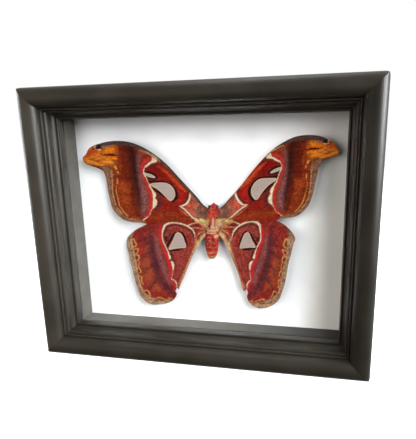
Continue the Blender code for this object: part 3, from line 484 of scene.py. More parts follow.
# Sections of the body at the tips of its hair: z, centre x, half width, centre depth, half depth
BODY_SECTIONS = (
    (23.2, 11.4, 0.4, 41.4, 0.6), (22.4, 11.5, 1.2, 41.4, 1.6), (21.3, 11.5, 2.6, 41.4, 2.8),
    (20.3, 11.3, 3.8, 41.5, 3.8), (19.2, 11.1, 4.8, 41.6, 4.6), (18.0, 11.1, 5.5, 41.8, 5.3),
    (16.4, 11.1, 6.0, 41.9, 5.8), (14.5, 11.1, 6.3, 42.1, 6.2), (10.0, 10.9, 6.8, 42.2, 6.6),
    (5.0, 10.6, 6.9, 42.2, 6.6), (0.5, 10.2, 6.6, 42.2, 6.4), (-2.6, 9.9, 6.0, 42.3, 6.0),
    (-4.4, 9.7, 5.9, 42.3, 5.8), (-8.5, 9.2, 6.6, 42.3, 6.1), (-13.5, 8.7, 6.8, 42.3, 6.2),
    (-18.5, 8.5, 6.5, 42.4, 6.0), (-23.0, 8.5, 5.8, 42.5, 5.6), (-27.0, 8.5, 4.7, 42.7, 4.9),
    (-29.6, 8.3, 3.5, 42.9, 4.0), (-31.4, 8.3, 2.0, 43.0, 2.6),
)
SKIN_DEPTH = 0.5
SEGMENT_JOINTS = (-4.4, -8.9, -13.6, -18.2, -22.6, -26.4)
EYES = ((7.8, 40.2, 19.2), (14.9, 40.2, 19.4))
EYE_RADIUS = 1.6
LEGS_LEFT = (
    ((8.0, 45.0, 14.0), (3.2, 45.6, 16.4), (0.8, 47.4, 19.0)),
    ((7.5, 45.5, 8.0), (1.0, 45.6, 10.0), (-3.6, 47.6, 4.6)),
    ((7.5, 45.5, 2.0), (1.4, 45.8, -1.0), (-1.2, 47.6, -8.0)),
)
LEG_RADIUS = 0.65
ANTENNAE = {
    "left": ((6.2, 37.4, 18.4), (4.6, 36.6, 17.0), (3.6, 35.9, 14.8), (3.6, 35.8, 12.2)),
    "right": ((16.4, 37.4, 18.6), (18.6, 36.6, 17.2), (19.8, 35.9, 14.9), (19.0, 35.8, 12.2)),
}
ANTENNA_TINTS = {"left": "fur_brown", "right": "fur_tan"}
ANTENNA_RADIUS = 0.3
BARB_LENGTH = 1.2
BARB_PITCH = 0.32

# Fans of long hair over the wing roots: direction in x, and (x, z) of their near and far ends
ROOT_FANS = ((-1.0, (6.2, 3.4), (-4.5, 6.4)), (1.0, (15.2, 4.2), (28.0, 6.6)))
ROOT_HAIRS = 1500
# Below this z the hair of a fan lies on the hindwing
FORE_EDGE = 5.4

# Clumps of hair take their shade from a square of this many random numbers a side
CLUMP_GRID = 97
# Share of the body's hairs that grow on its front half
FRONT_SHARE = 0.82
# Coats of hair on the body: name, then count, lowest z, highest z, length and width of each batch
COATS = (
    ("moth_thorax_hair", ((6500, -1.5, 18.5, 2.1, 0.20), (2200, 17.0, 23.0, 1.2, 0.20))),
    ("moth_abdomen_hair", ((8500, -30.8, -2.6, 1.15, 0.17),)),
)

ATTRIBUTE_TYPES = {"value": "FLOAT", "vector": "FLOAT_VECTOR", "color": "FLOAT_COLOR"}


# Geometry helpers

def row(points):
    """Points of (x, depth, z) in millimetres as row coordinates in metres."""
    points = np.asarray(points, float)
    moved = points + np.array((0.0, FRONT_Y, HALF_HEIGHT))
    return moved * 0.001


def display_colour(name):
    """Linear colour of a palette entry, under light that turns a white board over-bright."""
    shares = np.array(PALETTE[name], float) / 255.0
    low = shares / 12.92
    high = ((shares + 0.055) / 1.055) ** 2.4
    return np.where(shares <= 0.04045, low, high) / OVER_BRIGHT


def spline(points, step, closed):
    """Smooth curve through the points, which breaks at each point that ends in "corner"."""
    sharp = [point[-1] == "corner" for point in points]
    knots = [np.array(point[:-1] if ends else point, float) for point, ends in zip(points, sharp)]
    count = len(knots)
    curve = []
    for index in range(count if closed else count - 1):
        after = (index + 1) % count
        starts = sharp[index] or (not closed and index == 0)
        ends = sharp[after] or (not closed and after == count - 1)
        here, there = knots[index], knots[after]
        before = here if starts else knots[index - 1]
        beyond = there if ends else knots[(index + 2) % count]
        span = np.linalg.norm(there - here)
        leave = tangent(before, here, there) * span
        arrive = tangent(here, there, beyond) * span
        pieces = max(1, round(span / step))
        for piece in range(pieces):
            at = piece / pieces
            cube, square = at ** 3, at ** 2
            curve.append(
                here * (2 * cube - 3 * square + 1) + leave * (cube - 2 * square + at)
                + there * (3 * square - 2 * cube) + arrive * (cube - square)
            )
    if not closed:
        curve.append(knots[-1])
    return np.array(curve)


def tangent(before, here, after):
    """Direction of the curve at here, weighted towards the nearer neighbour."""
    first = np.linalg.norm(here - before)
    second = np.linalg.norm(after - here)
    if first == 0.0 or second == 0.0:
        chord = after - before
        return chord / np.linalg.norm(chord)
    return ((here - before) / first * second + (after - here) / second * first) / (first + second)


def stroke_distance(spots, stroke):
    """Distance from each spot to a stroke of (x, z, half width) points, negative on it."""
    nearest = np.full(len(spots), 1e9)
    for start, end in zip(stroke, stroke[1:]):
        span = end[:2] - start[:2]
        along = np.clip((spots - start[:2]) @ span / max(span @ span, 1e-12), 0.0, 1.0)
        gap = spots - start[:2] - along[:, None] * span
        half = start[2] + (end[2] - start[2]) * along
        nearest = np.minimum(nearest, np.hypot(gap[:, 0], gap[:, 1]) - half)
    return nearest


def patch_distance(spots, outline):
    """Distance from each spot to a closed outline, negative inside, and the nearest point on it."""
    nearest = np.full(len(spots), 1e9)
    foot = np.zeros_like(spots)
    inside = np.zeros(len(spots), bool)
    for start, end in zip(outline, np.roll(outline, -1, axis=0)):
        span = end - start
        along = np.clip((spots - start) @ span / max(span @ span, 1e-12), 0.0, 1.0)
        there = start + along[:, None] * span
        gap = spots - there
        distance = np.hypot(gap[:, 0], gap[:, 1])
        closer = distance < nearest
        nearest = np.where(closer, distance, nearest)
        foot[closer] = there[closer]
        crosses = (start[1] > spots[:, 1]) != (end[1] > spots[:, 1])
        if start[1] != end[1]:
            at = start[0] + (spots[:, 1] - start[1]) * span[0] / span[1]
            inside ^= crosses & (spots[:, 0] < at)
    return np.where(inside, -nearest, nearest), foot


def mark_distance(spots, mark):
    """Signed distance to a stroke or a patch, whichever the mark is."""
    if len(mark[0]) == 3:
        return stroke_distance(spots, spline(mark, MARK_STEP, False))
    return patch_distance(spots, spline(mark, MARK_STEP, True))[0]


def ramp(value, low, high):
    """Share that rises smoothly from 0 at low to 1 at high."""
    share = np.clip((value - low) / (high - low), 0.0, 1.0)
    return share * share * (3.0 - 2.0 * share)


def unit(vectors):
    """The same vectors at length one."""
    return vectors / np.linalg.norm(vectors, axis=1)[:, None]


def band(rings, sides, first=0):
    """Four-sided faces that join each ring of points to the next."""
    faces = []
    for ring in range(rings - 1):
        here = first + ring * sides
        for index in range(sides):
            after = (index + 1) % sides
            faces.append([here + index, here + sides + index, here + sides + after, here + after])
    return faces


class Warp:
    """Thin-plate map that takes each right landmark to its left one."""

    def __init__(self, pairs):
        targets, self.sources = np.array(pairs, float).transpose(1, 0, 2)
        count = len(self.sources)
        system = np.zeros((count + 3, count + 3))
        system[:count, :count] = self.kernel(self.sources)
        system[:count, count:] = self.affine(self.sources)
        system[count:, :count] = self.affine(self.sources).T
        self.weights = np.linalg.solve(system, np.vstack((targets, np.zeros((3, 2)))))

    def kernel(self, spots):
        square = ((spots[:, None, :] - self.sources[None, :, :]) ** 2).sum(axis=2)
        return square * np.log(np.maximum(square, 1e-9))

    def affine(self, spots):
        return np.hstack((np.ones((len(spots), 1)), spots))

    def __call__(self, spots):
        count = len(self.sources)
        return self.kernel(spots) @ self.weights[:count] + self.affine(spots) @ self.weights[count:]


def object_from(name, verts, faces, materials, face_materials=None):
    mesh = bpy.data.meshes.new(name)
    mesh.from_pydata(np.asarray(verts).tolist(), [], faces)
    for material in materials:
        mesh.materials.append(material)
    if face_materials is not None:
        mesh.polygons.foreach_set("material_index", np.asarray(face_materials, np.int32))
    mesh.update()
    return linked(name, mesh)


def linked(name, data):
    """New object that holds the data and is in the scene."""
    obj = bpy.data.objects.new(name, data)
    bpy.context.scene.collection.objects.link(obj)
    return obj


def store(mesh, name, values, kind="value"):
    """Keeps a value, vector or color for each point of the mesh."""
    if kind == "color":
        values = np.hstack((values, np.ones((len(values), 1))))
    attribute = mesh.attributes.new(name, ATTRIBUTE_TYPES[kind], "POINT")
    attribute.data.foreach_set(kind, np.asarray(values, np.float32).ravel())


# Materials

class Look:
    """Node material under construction round one Principled shader."""

    def __init__(self, name, **fixed):
        self.material = bpy.data.materials.new(name)
        self.material.use_nodes = True
        self.tree = self.material.node_tree
        self.shader = self.tree.nodes["Principled BSDF"]
        for socket, value in fixed.items():
            self.shader.inputs[socket.replace("_", " ")].default_value = value

    def node(self, kind, **settings):
        made = self.tree.nodes.new(f"ShaderNode{kind}")
        for key, value in settings.items():
            setattr(made, key, value)
        return made

    def feed(self, socket, value):
        """Links a socket, or sets a number or a colour on it."""
        if isinstance(value, bpy.types.NodeSocket):
            self.tree.links.new(value, socket)
        elif isinstance(value, (int, float)):
            socket.default_value = float(value)
        else:
            socket.default_value = (*[float(part) for part in value][:3], 1.0)

    def place(self, stretch=(1.0, 1.0, 1.0)):
        """Object position in millimetres, stretched per axis."""
        mapping = self.node("Mapping")
        mapping.inputs["Scale"].default_value = [1000.0 * part for part in stretch]
        self.tree.links.new(self.node("TexCoord").outputs["Object"], mapping.inputs["Vector"])
        return mapping.outputs["Vector"]

    def axis(self, name):
        """One coordinate of the object position in millimetres."""
        split = self.node("SeparateXYZ")
        self.tree.links.new(self.place(), split.inputs[0])
        return split.outputs[name]

    def read(self, name, output="Fac"):
        return self.node("Attribute", attribute_name=name).outputs[output]

    def noise(self, vector, scale, detail=3.0, rough=0.55):
        made = self.node("TexNoise")
        for name, value in (("Scale", scale), ("Detail", detail), ("Roughness", rough)):
            made.inputs[name].default_value = value
        self.tree.links.new(vector, made.inputs["Vector"])
        return made.outputs["Fac"]

    def span(self, value, low, high, to_low=0.0, to_high=1.0):
        """Smooth, clamped map of value from low..high to to_low..to_high."""
        made = self.node("MapRange", interpolation_type="SMOOTHSTEP")
        self.feed(made.inputs["Value"], value)
        parts = {"From Min": low, "From Max": high, "To Min": to_low, "To Max": to_high}
        for name, part in parts.items():
            made.inputs[name].default_value = part
        return made.outputs["Result"]

    def calculate(self, operation, first, second):
        made = self.node("Math", operation=operation)
        self.feed(made.inputs[0], first)
        self.feed(made.inputs[1], second)
        return made.outputs["Value"]

    def sum(self, first, second):
        return self.calculate("ADD", first, second)

    def times(self, first, second):
        return self.calculate("MULTIPLY", first, second)

    def mix(self, factor, first, second, blend="MIX"):
        made = self.node("Mix", data_type="RGBA", blend_type=blend)
        self.feed(made.inputs[0], factor)
        self.feed(made.inputs[6], first)
        self.feed(made.inputs[7], second)
        return made.outputs[2]

    def shade(self, colour, tint):
        """The colour multiplied by a tint."""
        return self.mix(1.0, colour, tint, "MULTIPLY")

    def layers(self, colour, *rows):
        """Lays tints on a colour. A row is (field, low, high, share at low, share at high, tint)."""
        for field, low, high, to_low, to_high, tint in rows:
            colour = self.mix(self.span(field, low, high, to_low, to_high), colour, tint)
        return colour

    def bump(self, height, strength, distance):
        made = self.node("Bump")
        made.inputs["Strength"].default_value = strength
        made.inputs["Distance"].default_value = distance
        self.tree.links.new(height, made.inputs["Height"])
        self.tree.links.new(made.outputs["Normal"], self.shader.inputs["Normal"])

    def finish(self, colour, roughness=None):
        self.feed(self.shader.inputs["Base Color"], colour)
        if roughness is not None:
            self.feed(self.shader.inputs["Roughness"], roughness)
        return self.material


def frame_paint(name, along, painted_light_gain):
    """Near-black brown paint, lightened per rail by painted light, with grain and brush marks along one
    axis.
    """
    look = Look(name, Specular_IOR_Level=0.5)
    stretch = [0.04 if axis == along else 1.0 for axis in "xyz"]
    grain = look.noise(look.place(stretch), 1.5, 5.0, 0.65)
    cloud = look.noise(look.place(), 0.03, 2.0)
    specks = look.noise(look.place(), 1.3, 2.0, 0.7)
    # the per-rail factor paints light and shade into the colour: the rail that faces the light is lighter
    base = np.array((0.0145, 0.0122, 0.009)) * painted_light_gain
    colour = look.layers(
        base * 0.86,
        (cloud, 0.35, 0.68, 0.0, 1.0, base * 1.14),
        (grain, 0.55, 0.80, 0.0, 0.35, (0.031, 0.026, 0.019)),
        (grain, 0.20, 0.42, 0.5, 0.0, (0.010, 0.008, 0.006)),
        (specks, 0.72, 0.80, 0.0, 0.5, (0.10, 0.085, 0.065)),
    )
    roughness = look.sum(look.span(cloud, 0.3, 0.7, 0.36, 0.40), look.span(grain, 0.3, 0.7, 0.0, 0.08))
    look.bump(look.sum(grain, look.span(specks, 0.5, 0.9, 0.0, 0.6)), 0.2, 0.00018)
    return look.finish(colour, roughness)


def wall_paint():
    """Dull grey-brown paint of the spacer strips, with painted shade that darkens it towards the right."""
    look = Look("wall_paint")
    cloud = look.noise(look.place(), 0.06, 3.0)
    nap = look.noise(look.place((1.0, 0.3, 1.0)), 2.2, 4.0, 0.7)
    colour = look.layers(
        (0.072, 0.067, 0.057),
        (cloud, 0.3, 0.7, 0.0, 1.0, (0.104, 0.097, 0.083)),
        (nap, 0.35, 0.75, 0.0, 0.35, (0.17, 0.15, 0.13)),
    )
    # painted shade: the strips get darker towards the right, where the right rail shades them
    dark = look.shade(colour, (0.22, 0.22, 0.24))
    colour = look.layers(colour, (look.axis("X"), -20.0, 122.0, 0.0, 1.0, dark))
    look.bump(nap, 0.35, 0.0002)
    return look.finish(colour, look.span(nap, 0.3, 0.7, 0.55, 0.72))


def pane():
    """Clear glass with a faint green haze."""
    look = Look("pane", Transmission_Weight=1.0, IOR=1.5, Roughness=0.0)
    haze = look.noise(look.place(), 0.03, 4.0)
    colour = look.layers((0.985, 0.995, 0.99), (haze, 0.35, 0.7, 0.0, 1.0, (0.965, 0.985, 0.975)))
    return look.finish(colour)


def white_board():
    """Matt white board with fibres and flecks, and painted shade towards its right and upper edges, where
    the rails shade it.
    """
    look = Look("white_board")
    fibre = look.noise(look.place((1.0, 1.0, 0.35)), 1.9, 5.0, 0.7)
    cloud = look.noise(look.place(), 0.03, 2.0)
    fleck = look.noise(look.place(), 1.1, 1.0)
    colour = look.layers(
        (0.86, 0.865, 0.87),
        (cloud, 0.3, 0.7, 0.0, 1.0, (0.83, 0.835, 0.84)),
        (fibre, 0.3, 0.7, 0.0, 0.5, (0.90, 0.90, 0.895)),
        (fleck, 0.78, 0.86, 0.0, 0.35, (0.62, 0.60, 0.56)),
    )
    # painted shade: the board darkens to a warm grey along its right and upper edges, within the rails'
    # shadow, along a wandering border
    wander = look.times(look.sum(cloud, -0.5), 16.0)
    for axis, start, end, painted_shade_tint in (
        ("X", 80.0, 122.0, (0.70, 0.67, 0.62)),
        ("Z", 192.0, 226.0, (0.74, 0.71, 0.72)),
    ):
        place = look.sum(look.axis(axis), wander)
        colour = look.layers(colour, (place, start, end, 0.0, 1.0, look.shade(colour, painted_shade_tint)))
    look.bump(fibre, 0.3, 0.00012)
    return look.finish(colour, look.span(fibre, 0.2, 0.8, 0.82, 0.92))


def brown_board():
    """Pressed fibre board of the back."""
    look = Look("brown_board")
    fibre = look.noise(look.place((1.0, 1.0, 0.25)), 1.1, 6.0, 0.75)
    fleck = look.noise(look.place((0.4, 1.0, 1.0)), 2.6, 3.0, 0.6)
    cloud = look.noise(look.place(), 0.04, 3.0)
    colour = look.layers(
        (0.20, 0.125, 0.07),
        (fibre, 0.3, 0.7, 0.0, 1.0, (0.36, 0.245, 0.15)),
        (fleck, 0.56, 0.74, 0.0, 0.6, (0.09, 0.05, 0.028)),
        (cloud, 0.4, 0.75, 0.0, 0.4, (0.42, 0.30, 0.19)),
    )
    look.bump(look.sum(fibre, fleck), 0.5, 0.0002)
    return look.finish(colour, look.span(fibre, 0.3, 0.7, 0.62, 0.85))


def steel():
    """Brushed and lightly stained steel of the tabs and the hanger."""
    look = Look("steel", Metallic=1.0)
    brushing = look.noise(look.place((0.06, 1.0, 1.0)), 4.0, 4.0, 0.7)
    stain = look.noise(look.place(), 0.35, 4.0)
    colour = look.layers((0.60, 0.60, 0.585), (stain, 0.4, 0.72, 0.0, 1.0, (0.42, 0.41, 0.385)))
    roughness = look.sum(look.span(brushing, 0.3, 0.7, 0.24, 0.36), look.span(stain, 0.4, 0.8, 0.0, 0.2))
    look.bump(brushing, 0.25, 0.00006)
    return look.finish(colour, roughness)


def enamel():
    """Glossy black of the pin heads."""
    look = Look("pin_enamel", Coat_Weight=0.5)
    cloud = look.noise(look.place(), 2.4, 3.0)
    colour = look.layers((0.012, 0.009, 0.010), (cloud, 0.3, 0.7, 0.0, 1.0, (0.030, 0.022, 0.022)))
    return look.finish(colour, look.span(cloud, 0.3, 0.7, 0.14, 0.26))


def wing_scales():
    """Ground colours from the mesh, then streaks and clumps of scales, then the crisp marks."""
    look = Look("wing_scales", Specular_IOR_Level=0.08)
    place = look.place()
    fine = look.noise(place, 2.3, 3.0, 0.7)
    clumps = look.noise(place, 0.62, 4.0, 0.85)
    specks = look.noise(place, 0.80, 3.0, 0.85)
    cloud = look.noise(place, 0.13, 3.0, 0.6)
    barred = look.noise(look.place((0.22, 1.0, 1.0)), 0.55, 3.0, 0.7)
    streaks = look.noise(look.read("ray", "Vector"), 1.0, 4.0, 0.65)
    ground = look.read("ground", "Color")
    darker = look.shade(ground, (0.34, 0.24, 0.26))
    lighter = look.shade(ground, (1.60, 1.95, 1.75))
    colour = look.layers(
        ground,
        (cloud, 0.36, 0.60, 0.5, 0.0, darker),
        (look.read("vein"), 0.2, 3.0, 0.35, 0.0, darker),
        (streaks, 0.52, 0.74, 0.0, 0.55, lighter),
        (streaks, 0.26, 0.47, 0.55, 0.0, darker),
        (barred, 0.56, 0.70, 0.0, 0.45, lighter),
        (barred, 0.30, 0.45, 0.45, 0.0, darker),
        (clumps, 0.50, 0.64, 0.0, 0.75, lighter),
        (clumps, 0.34, 0.49, 0.75, 0.0, darker),
    )
    frost = look.times(look.read("frost"), look.span(specks, 0.38, 0.66, 0.0, 0.85))
    colour = look.mix(frost, colour, display_colour("rime"))
    ragged = look.times(look.sum(look.sum(fine, look.noise(place, 0.62, 3.0, 0.6)), -1.0), 2.2)
    # each mark: by how much it shrinks, softness of its edge and waviness in millimetres, and its share
    for name, shrink, soft, wave, strength in (
        ("brown", 0.0, 0.50, 1.2, 0.80),
        ("red", -0.1, 0.45, 1.2, 0.92),
        ("yellow", 0.0, 0.35, 1.2, 0.80),
        ("slit", 0.0, 0.30, 0.3, 0.95),
        ("black", -0.3, 0.28, 0.4, 0.97),
        ("cream", 0.30, 0.36, 1.1, 0.92),
    ):
        distance = look.sum(look.sum(look.read(name), shrink), look.times(ragged, wave))
        tint = display_colour(name)
        mottled = look.layers(tint * 0.66, (clumps, 0.36, 0.60, 0.0, 1.0, np.minimum(tint * 1.15, 1.0)))
        colour = look.layers(colour, (distance, -soft, soft, strength, 0.0, mottled))
    distance = look.sum(look.read("window"), look.times(ragged, 0.25))
    window = display_colour("window")
    clear = look.layers(window * 0.86, (clumps, 0.35, 0.65, 0.0, 1.0, window * 1.06))
    colour = look.layers(
        colour,
        (distance, -0.2, 0.2, 1.0, 0.0, display_colour("window_rim")),
        (distance, -1.0, -0.4, 1.0, 0.0, clear),
    )
    look.bump(look.sum(look.times(streaks, 1.6), clumps), 0.4, 0.0002)
    gloss = look.span(distance, -1.0, 0.0, 0.42, 0.0)
    return look.finish(colour, look.calculate("SUBTRACT", look.span(fine, 0.3, 0.7, 0.72, 0.88), gloss))


def hair(name, roughness):
    """Hair or horn whose colour is stored on the mesh, with a little life from noise."""
    look = Look(name, Specular_IOR_Level=0.12)
    tint = look.read("tint", "Color")
    along = look.noise(look.place((1.0, 1.0, 0.4)), 2.4, 3.0, 0.6)
    colour = look.layers(tint, (along, 0.3, 0.7, 0.5, 0.0, look.shade(tint, (0.55, 0.50, 0.50))))
    look.bump(along, 0.3, 0.0001)
    return look.finish(colour, look.span(along, 0.3, 0.7, roughness - 0.1, roughness))


def eye_gloss():
    """Dark compound eye with fine facets."""
    look = Look("eye", Coat_Weight=0.4)
    facets = look.node("TexVoronoi")
    facets.inputs["Scale"].default_value = 4.0
    look.tree.links.new(look.place(), facets.inputs["Vector"])
    cell = facets.outputs["Distance"]
    colour = look.layers((0.030, 0.014, 0.012), (cell, 0.1, 0.6, 0.0, 1.0, (0.008, 0.005, 0.006)))
    look.bump(cell, 0.4, 0.00008)
    return look.finish(colour, look.span(cell, 0.1, 0.6, 0.22, 0.34))


# Wings

def wing_relief(x, z):
    """Depth added to a flat wing: a low arch from root to tip and slow waves, as in the solids."""
    reach = np.abs(x - BODY_CENTRE_X)
    arch = np.sin(np.pi * np.minimum(1.0, reach / ARCH_SPAN))
    return -ARCH_DEPTH * arch + WAVE_DEPTH * np.sin(z / WAVE_PITCH + WAVE_DRIFT * reach)


def wing_cells(outline):
    """Grid points and four-sided cells that fill an outline, with the rim drawn onto it."""
    low = outline.min(axis=0) - WING_CELL
    high = outline.max(axis=0) + WING_CELL
    columns = np.arange(low[0], high[0], WING_CELL)
    rows = np.arange(low[1], high[1], WING_CELL)
    across, up = np.meshgrid(columns, rows)
    spots = np.stack((across.ravel(), up.ravel()), axis=1)
    distance, foot = patch_distance(spots, outline)
    wide = len(columns)
    corner = (np.arange(len(rows) - 1)[:, None] * wide + np.arange(wide - 1)[None, :]).ravel()
    cells = np.stack((corner, corner + 1, corner + wide + 1, corner + wide), axis=1)
    middle = spots[cells].mean(axis=1)
    keep = (distance[cells].mean(axis=1) < 0.0) & (np.abs(middle[:, 0] - BODY_CENTRE_X) > ROOT_CUT)
    cells = cells[keep]
    uses = np.bincount(cells.ravel(), minlength=len(spots))
    rim = (uses > 0) & (uses < 4) & (np.abs(distance) < 1.3 * WING_CELL)
    spots[rim] = foot[rim]
    used = np.flatnonzero(uses)
    renumber = np.full(len(spots), -1)
    renumber[used] = np.arange(len(used))
    return spots[used], renumber[cells]


def rim_edges(cells):
    """Directed edges of the cells that no other cell shares."""
    edges = np.concatenate([cells[:, [index, (index + 1) % 4]] for index in range(4)])
    seen = {(int(a), int(b)) for a, b in edges}
    return [edge for edge in seen if (edge[1], edge[0]) not in seen]


def make_wing(node, points, kind, pairs, material):
    """Thin cambered sheet with raised veins, whose vertices carry the distances to each mark."""
    depth, marks, areas, veins, base_colour = kind
    spots, cells = wing_cells(spline(points, OUTLINE_STEP, True))
    plan = Warp(pairs)(spots) if pairs else spots
    vein = np.full(len(spots), 1e9)
    for line in veins:
        stroke = [(x, z, 0.0) for x, z in line]
        vein = np.minimum(vein, stroke_distance(plan, spline(stroke, VEIN_STEP, False)))
    ridge = np.exp(-(vein / VEIN_HALF) ** 2) * VEIN_RISE
    sag = PLEAT_SAG * ramp(vein, 0.0, PLEAT_REACH)
    front = depth + wing_relief(spots[:, 0], spots[:, 1]) + sag - ridge - WING_THICK / 2.0
    upper = np.stack((spots[:, 0], front, spots[:, 1]), axis=1)
    lower = upper + np.array((0.0, WING_THICK, 0.0))
    count = len(spots)
    faces = cells.tolist() + (cells[:, ::-1] + count).tolist()
    faces += [[b, a, a + count, b + count] for a, b in sorted(rim_edges(cells))]
    wing = object_from(f"{node}_scaled", row(np.vstack((upper, lower))), faces, [material])
    mesh = wing.data
    mesh.shade_smooth()
    mesh.set_sharp_from_angle(angle=math.radians(55.0))

    ground = np.tile(display_colour(base_colour), (count, 1))
    frost = np.zeros(count)
    for colour, soft, mark in areas:
        cover = ramp(-mark_distance(plan, mark), -soft, soft)
        ground += (display_colour(colour) - ground) * cover[:, None]
        frost = np.maximum(frost, cover) if colour == "frost" else frost * (1.0 - cover)
    store(mesh, "ground", np.tile(ground, (2, 1)), "color")
    store(mesh, "frost", np.tile(frost, 2))
    store(mesh, "vein", np.tile(vein, 2))
    for key, group in marks.items():
        nearest = np.min([mark_distance(plan, mark) for mark in group], axis=0)
        store(mesh, key, np.tile(np.minimum(nearest, MARK_REACH), 2))
    root = plan - np.array(FAN_CENTRE)
    reach = np.hypot(root[:, 0], root[:, 1])
    turn = np.arctan2(root[:, 1], -root[:, 0])
    ray = np.stack((reach * STREAK_ALONG, turn * STREAK_ACROSS, np.zeros(count)), axis=1)
    store(mesh, "ray", np.tile(ray, (2, 1)), "vector")
    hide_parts(node)
    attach(wing, "root")


def make_wings(material):
    fore = (FOREWING_DEPTH, FOREWING_MARKS, FOREWING_AREAS, FOREWING_VEINS, "rust")
    hind = (HINDWING_DEPTH, HINDWING_MARKS, HINDWING_AREAS, HINDWING_VEINS, "crimson")
    make_wing("forewing_left", FOREWING_LEFT, fore, None, material)
    make_wing("forewing_right", FOREWING_RIGHT, fore, FOREWING_PAIRS, material)
    make_wing("hindwing_left", HINDWING_LEFT, hind, None, material)
    make_wing("hindwing_right", HINDWING_RIGHT, hind, HINDWING_PAIRS, material)


# Body, antennae and hair

def skin_section(z, least):
    """Centre x, half width, centre depth and half depth of the skin under the hair at each z."""
    table = np.array(BODY_SECTIONS)[::-1]
    centre, half_width, depth, half_depth = [
        np.interp(z, table[:, 0], table[:, column]) for column in range(1, 5)
    ]
    half_width = np.maximum(half_width - SKIN_DEPTH, least)
    return centre, half_width, depth, np.maximum(half_depth - SKIN_DEPTH, least)


def mottle(rng, x, z, size):
    """Random share from 0 to 1 for each point, the same within clumps of the given size."""
    share = rng.random((CLUMP_GRID, CLUMP_GRID))
    column = np.floor(x / size + 0.35 * np.sin(z / size)).astype(int) % CLUMP_GRID
    level = np.floor(z / size + 0.35 * np.sin(1.7 * x / size)).astype(int) % CLUMP_GRID
    return share[column, level]


def body_tint(rng, x, z):
    """Colour of the body's hair at each (x, z)."""
    colour = np.tile(display_colour("fur_red"), (len(z), 1))
    clump = mottle(rng, x, z, 1.1)
    single = rng.random(len(z))

    def paint(name, cover):
        nonlocal colour
        colour = colour + (display_colour(name) - colour) * np.clip(cover, 0.0, 1.0)[:, None]

    def near(value, centre, half, soft):
        return 1.0 - ramp(np.abs(value - centre), half, half + soft)

    centre = BODY_CENTRE_X + 0.08 * z
    aside = np.abs(x - centre)
    thorax = ramp(z, -0.5, 1.0)
    paint("fur_deep", ramp(-clump, -0.42, -0.30) * 0.85)
    paint("fur_orange", ramp(clump, 0.62, 0.74) * 0.75)
    paint("fur_pale", ramp(clump, 0.96, 0.98) * 0.4)
    # painted shade: the abdomen's left flank, on the side away from the light, deepened to dark red
    paint("fur_deep", (1.0 - thorax) * ramp(centre - x, 3.2, 5.6) * 0.7)
    # thorax: brown shoulders, shaggy cream sides, a pale streak down the back
    shoulders = thorax * ramp(aside, 3.0, 4.4) * ramp(z, 8.0, 10.0)
    paint("fur_brown", shoulders * ramp(single, 0.1, 0.3))
    paint("fur_orange", thorax * ramp(single, 0.4, 0.6) * near(z, 9.0, 3.0, 4.0) * 0.8)
    sides = ramp(aside, 2.6, 3.8) * near(z, 4.0, 4.0, 2.5)
    paint("fur_cream", sides * ramp(single, 0.1, 0.3))
    paint("fur_yellow", sides * ramp(clump, 0.55, 0.7))
    paint("fur_dull", sides * ramp(-clump, -0.2, -0.1) * 0.8)
    streak = near(x, 11.2 + 0.10 * (z - 3.0), 0.4, 0.9) * near(z, 5.5, 3.2, 2.0)
    paint("fur_pale", streak * ramp(single, 0.1, 0.4))
    paint("fur_cream", near(x, 11.2, 1.4, 1.2) * near(z, 1.2, 0.7, 0.9) * 0.8)
    # head: ink-dark flanks and a red ridge with brown tufts
    paint("fur_ink", ramp(z, 17.6, 18.4) * ramp(np.abs(x - 11.5), 2.2, 2.9))
    ridge = ramp(z, 17.8, 18.6) * near(x, 11.5, 2.2, 0.6)
    paint("fur_brown", ridge * ramp(-clump, -0.4, -0.2) * 0.7)
    # collar and rings of the abdomen
    paint("fur_cream", near(z, -2.3, 1.3, 0.6) * ramp(single, 0.0, 0.15))
    paint("fur_orange", near(z, -2.3, 1.6, 0.6) * ramp(clump, 0.7, 0.85) * 0.6)
    paint("fur_red", near(z, -4.1, 0.2, 0.4) * 0.8)
    paint("fur_orange", near(z, -5.1, 0.6, 0.5) * near(x, 9.6, 4.2, 1.0) * 0.9)
    paint("fur_cream", near(z, -5.2, 0.3, 0.4) * near(x, 9.0, 3.8, 1.0) * 0.9)
    pale_side = near(z, -8.4, 1.0, 0.9) * ramp(x, 11.0, 13.0)
    paint("fur_cream", pale_side * ramp(single, 0.2, 0.5))
    paint("fur_dull", near(z, -13.9, 0.45, 0.6) * 0.9)
    paint("fur_orange", near(z, -12.8, 0.3, 0.5) * ramp(clump, 0.3, 0.6) * 0.8)
    paint("fur_orange", near(z, -19.4, 0.25, 0.5) * 0.7)
    paint("fur_deep", near(z, -20.4, 0.3, 0.5) * 0.7)
    paint("fur_orange", near(z, -24.4, 0.4, 0.6) * 0.9)
    paint("fur_cream", near(z, -24.5, 0.2, 0.3) * near(x, 7.4, 1.6, 1.4) * 0.9)
    paint("fur_yellow", ramp(-z, 27.6, 28.6) * ramp(single, 0.2, 0.5))
    paint("fur_brown", ramp(-z, 28.9, 29.8) * 0.6)
    return colour * rng.uniform(0.72, 1.28, (len(z), 1))


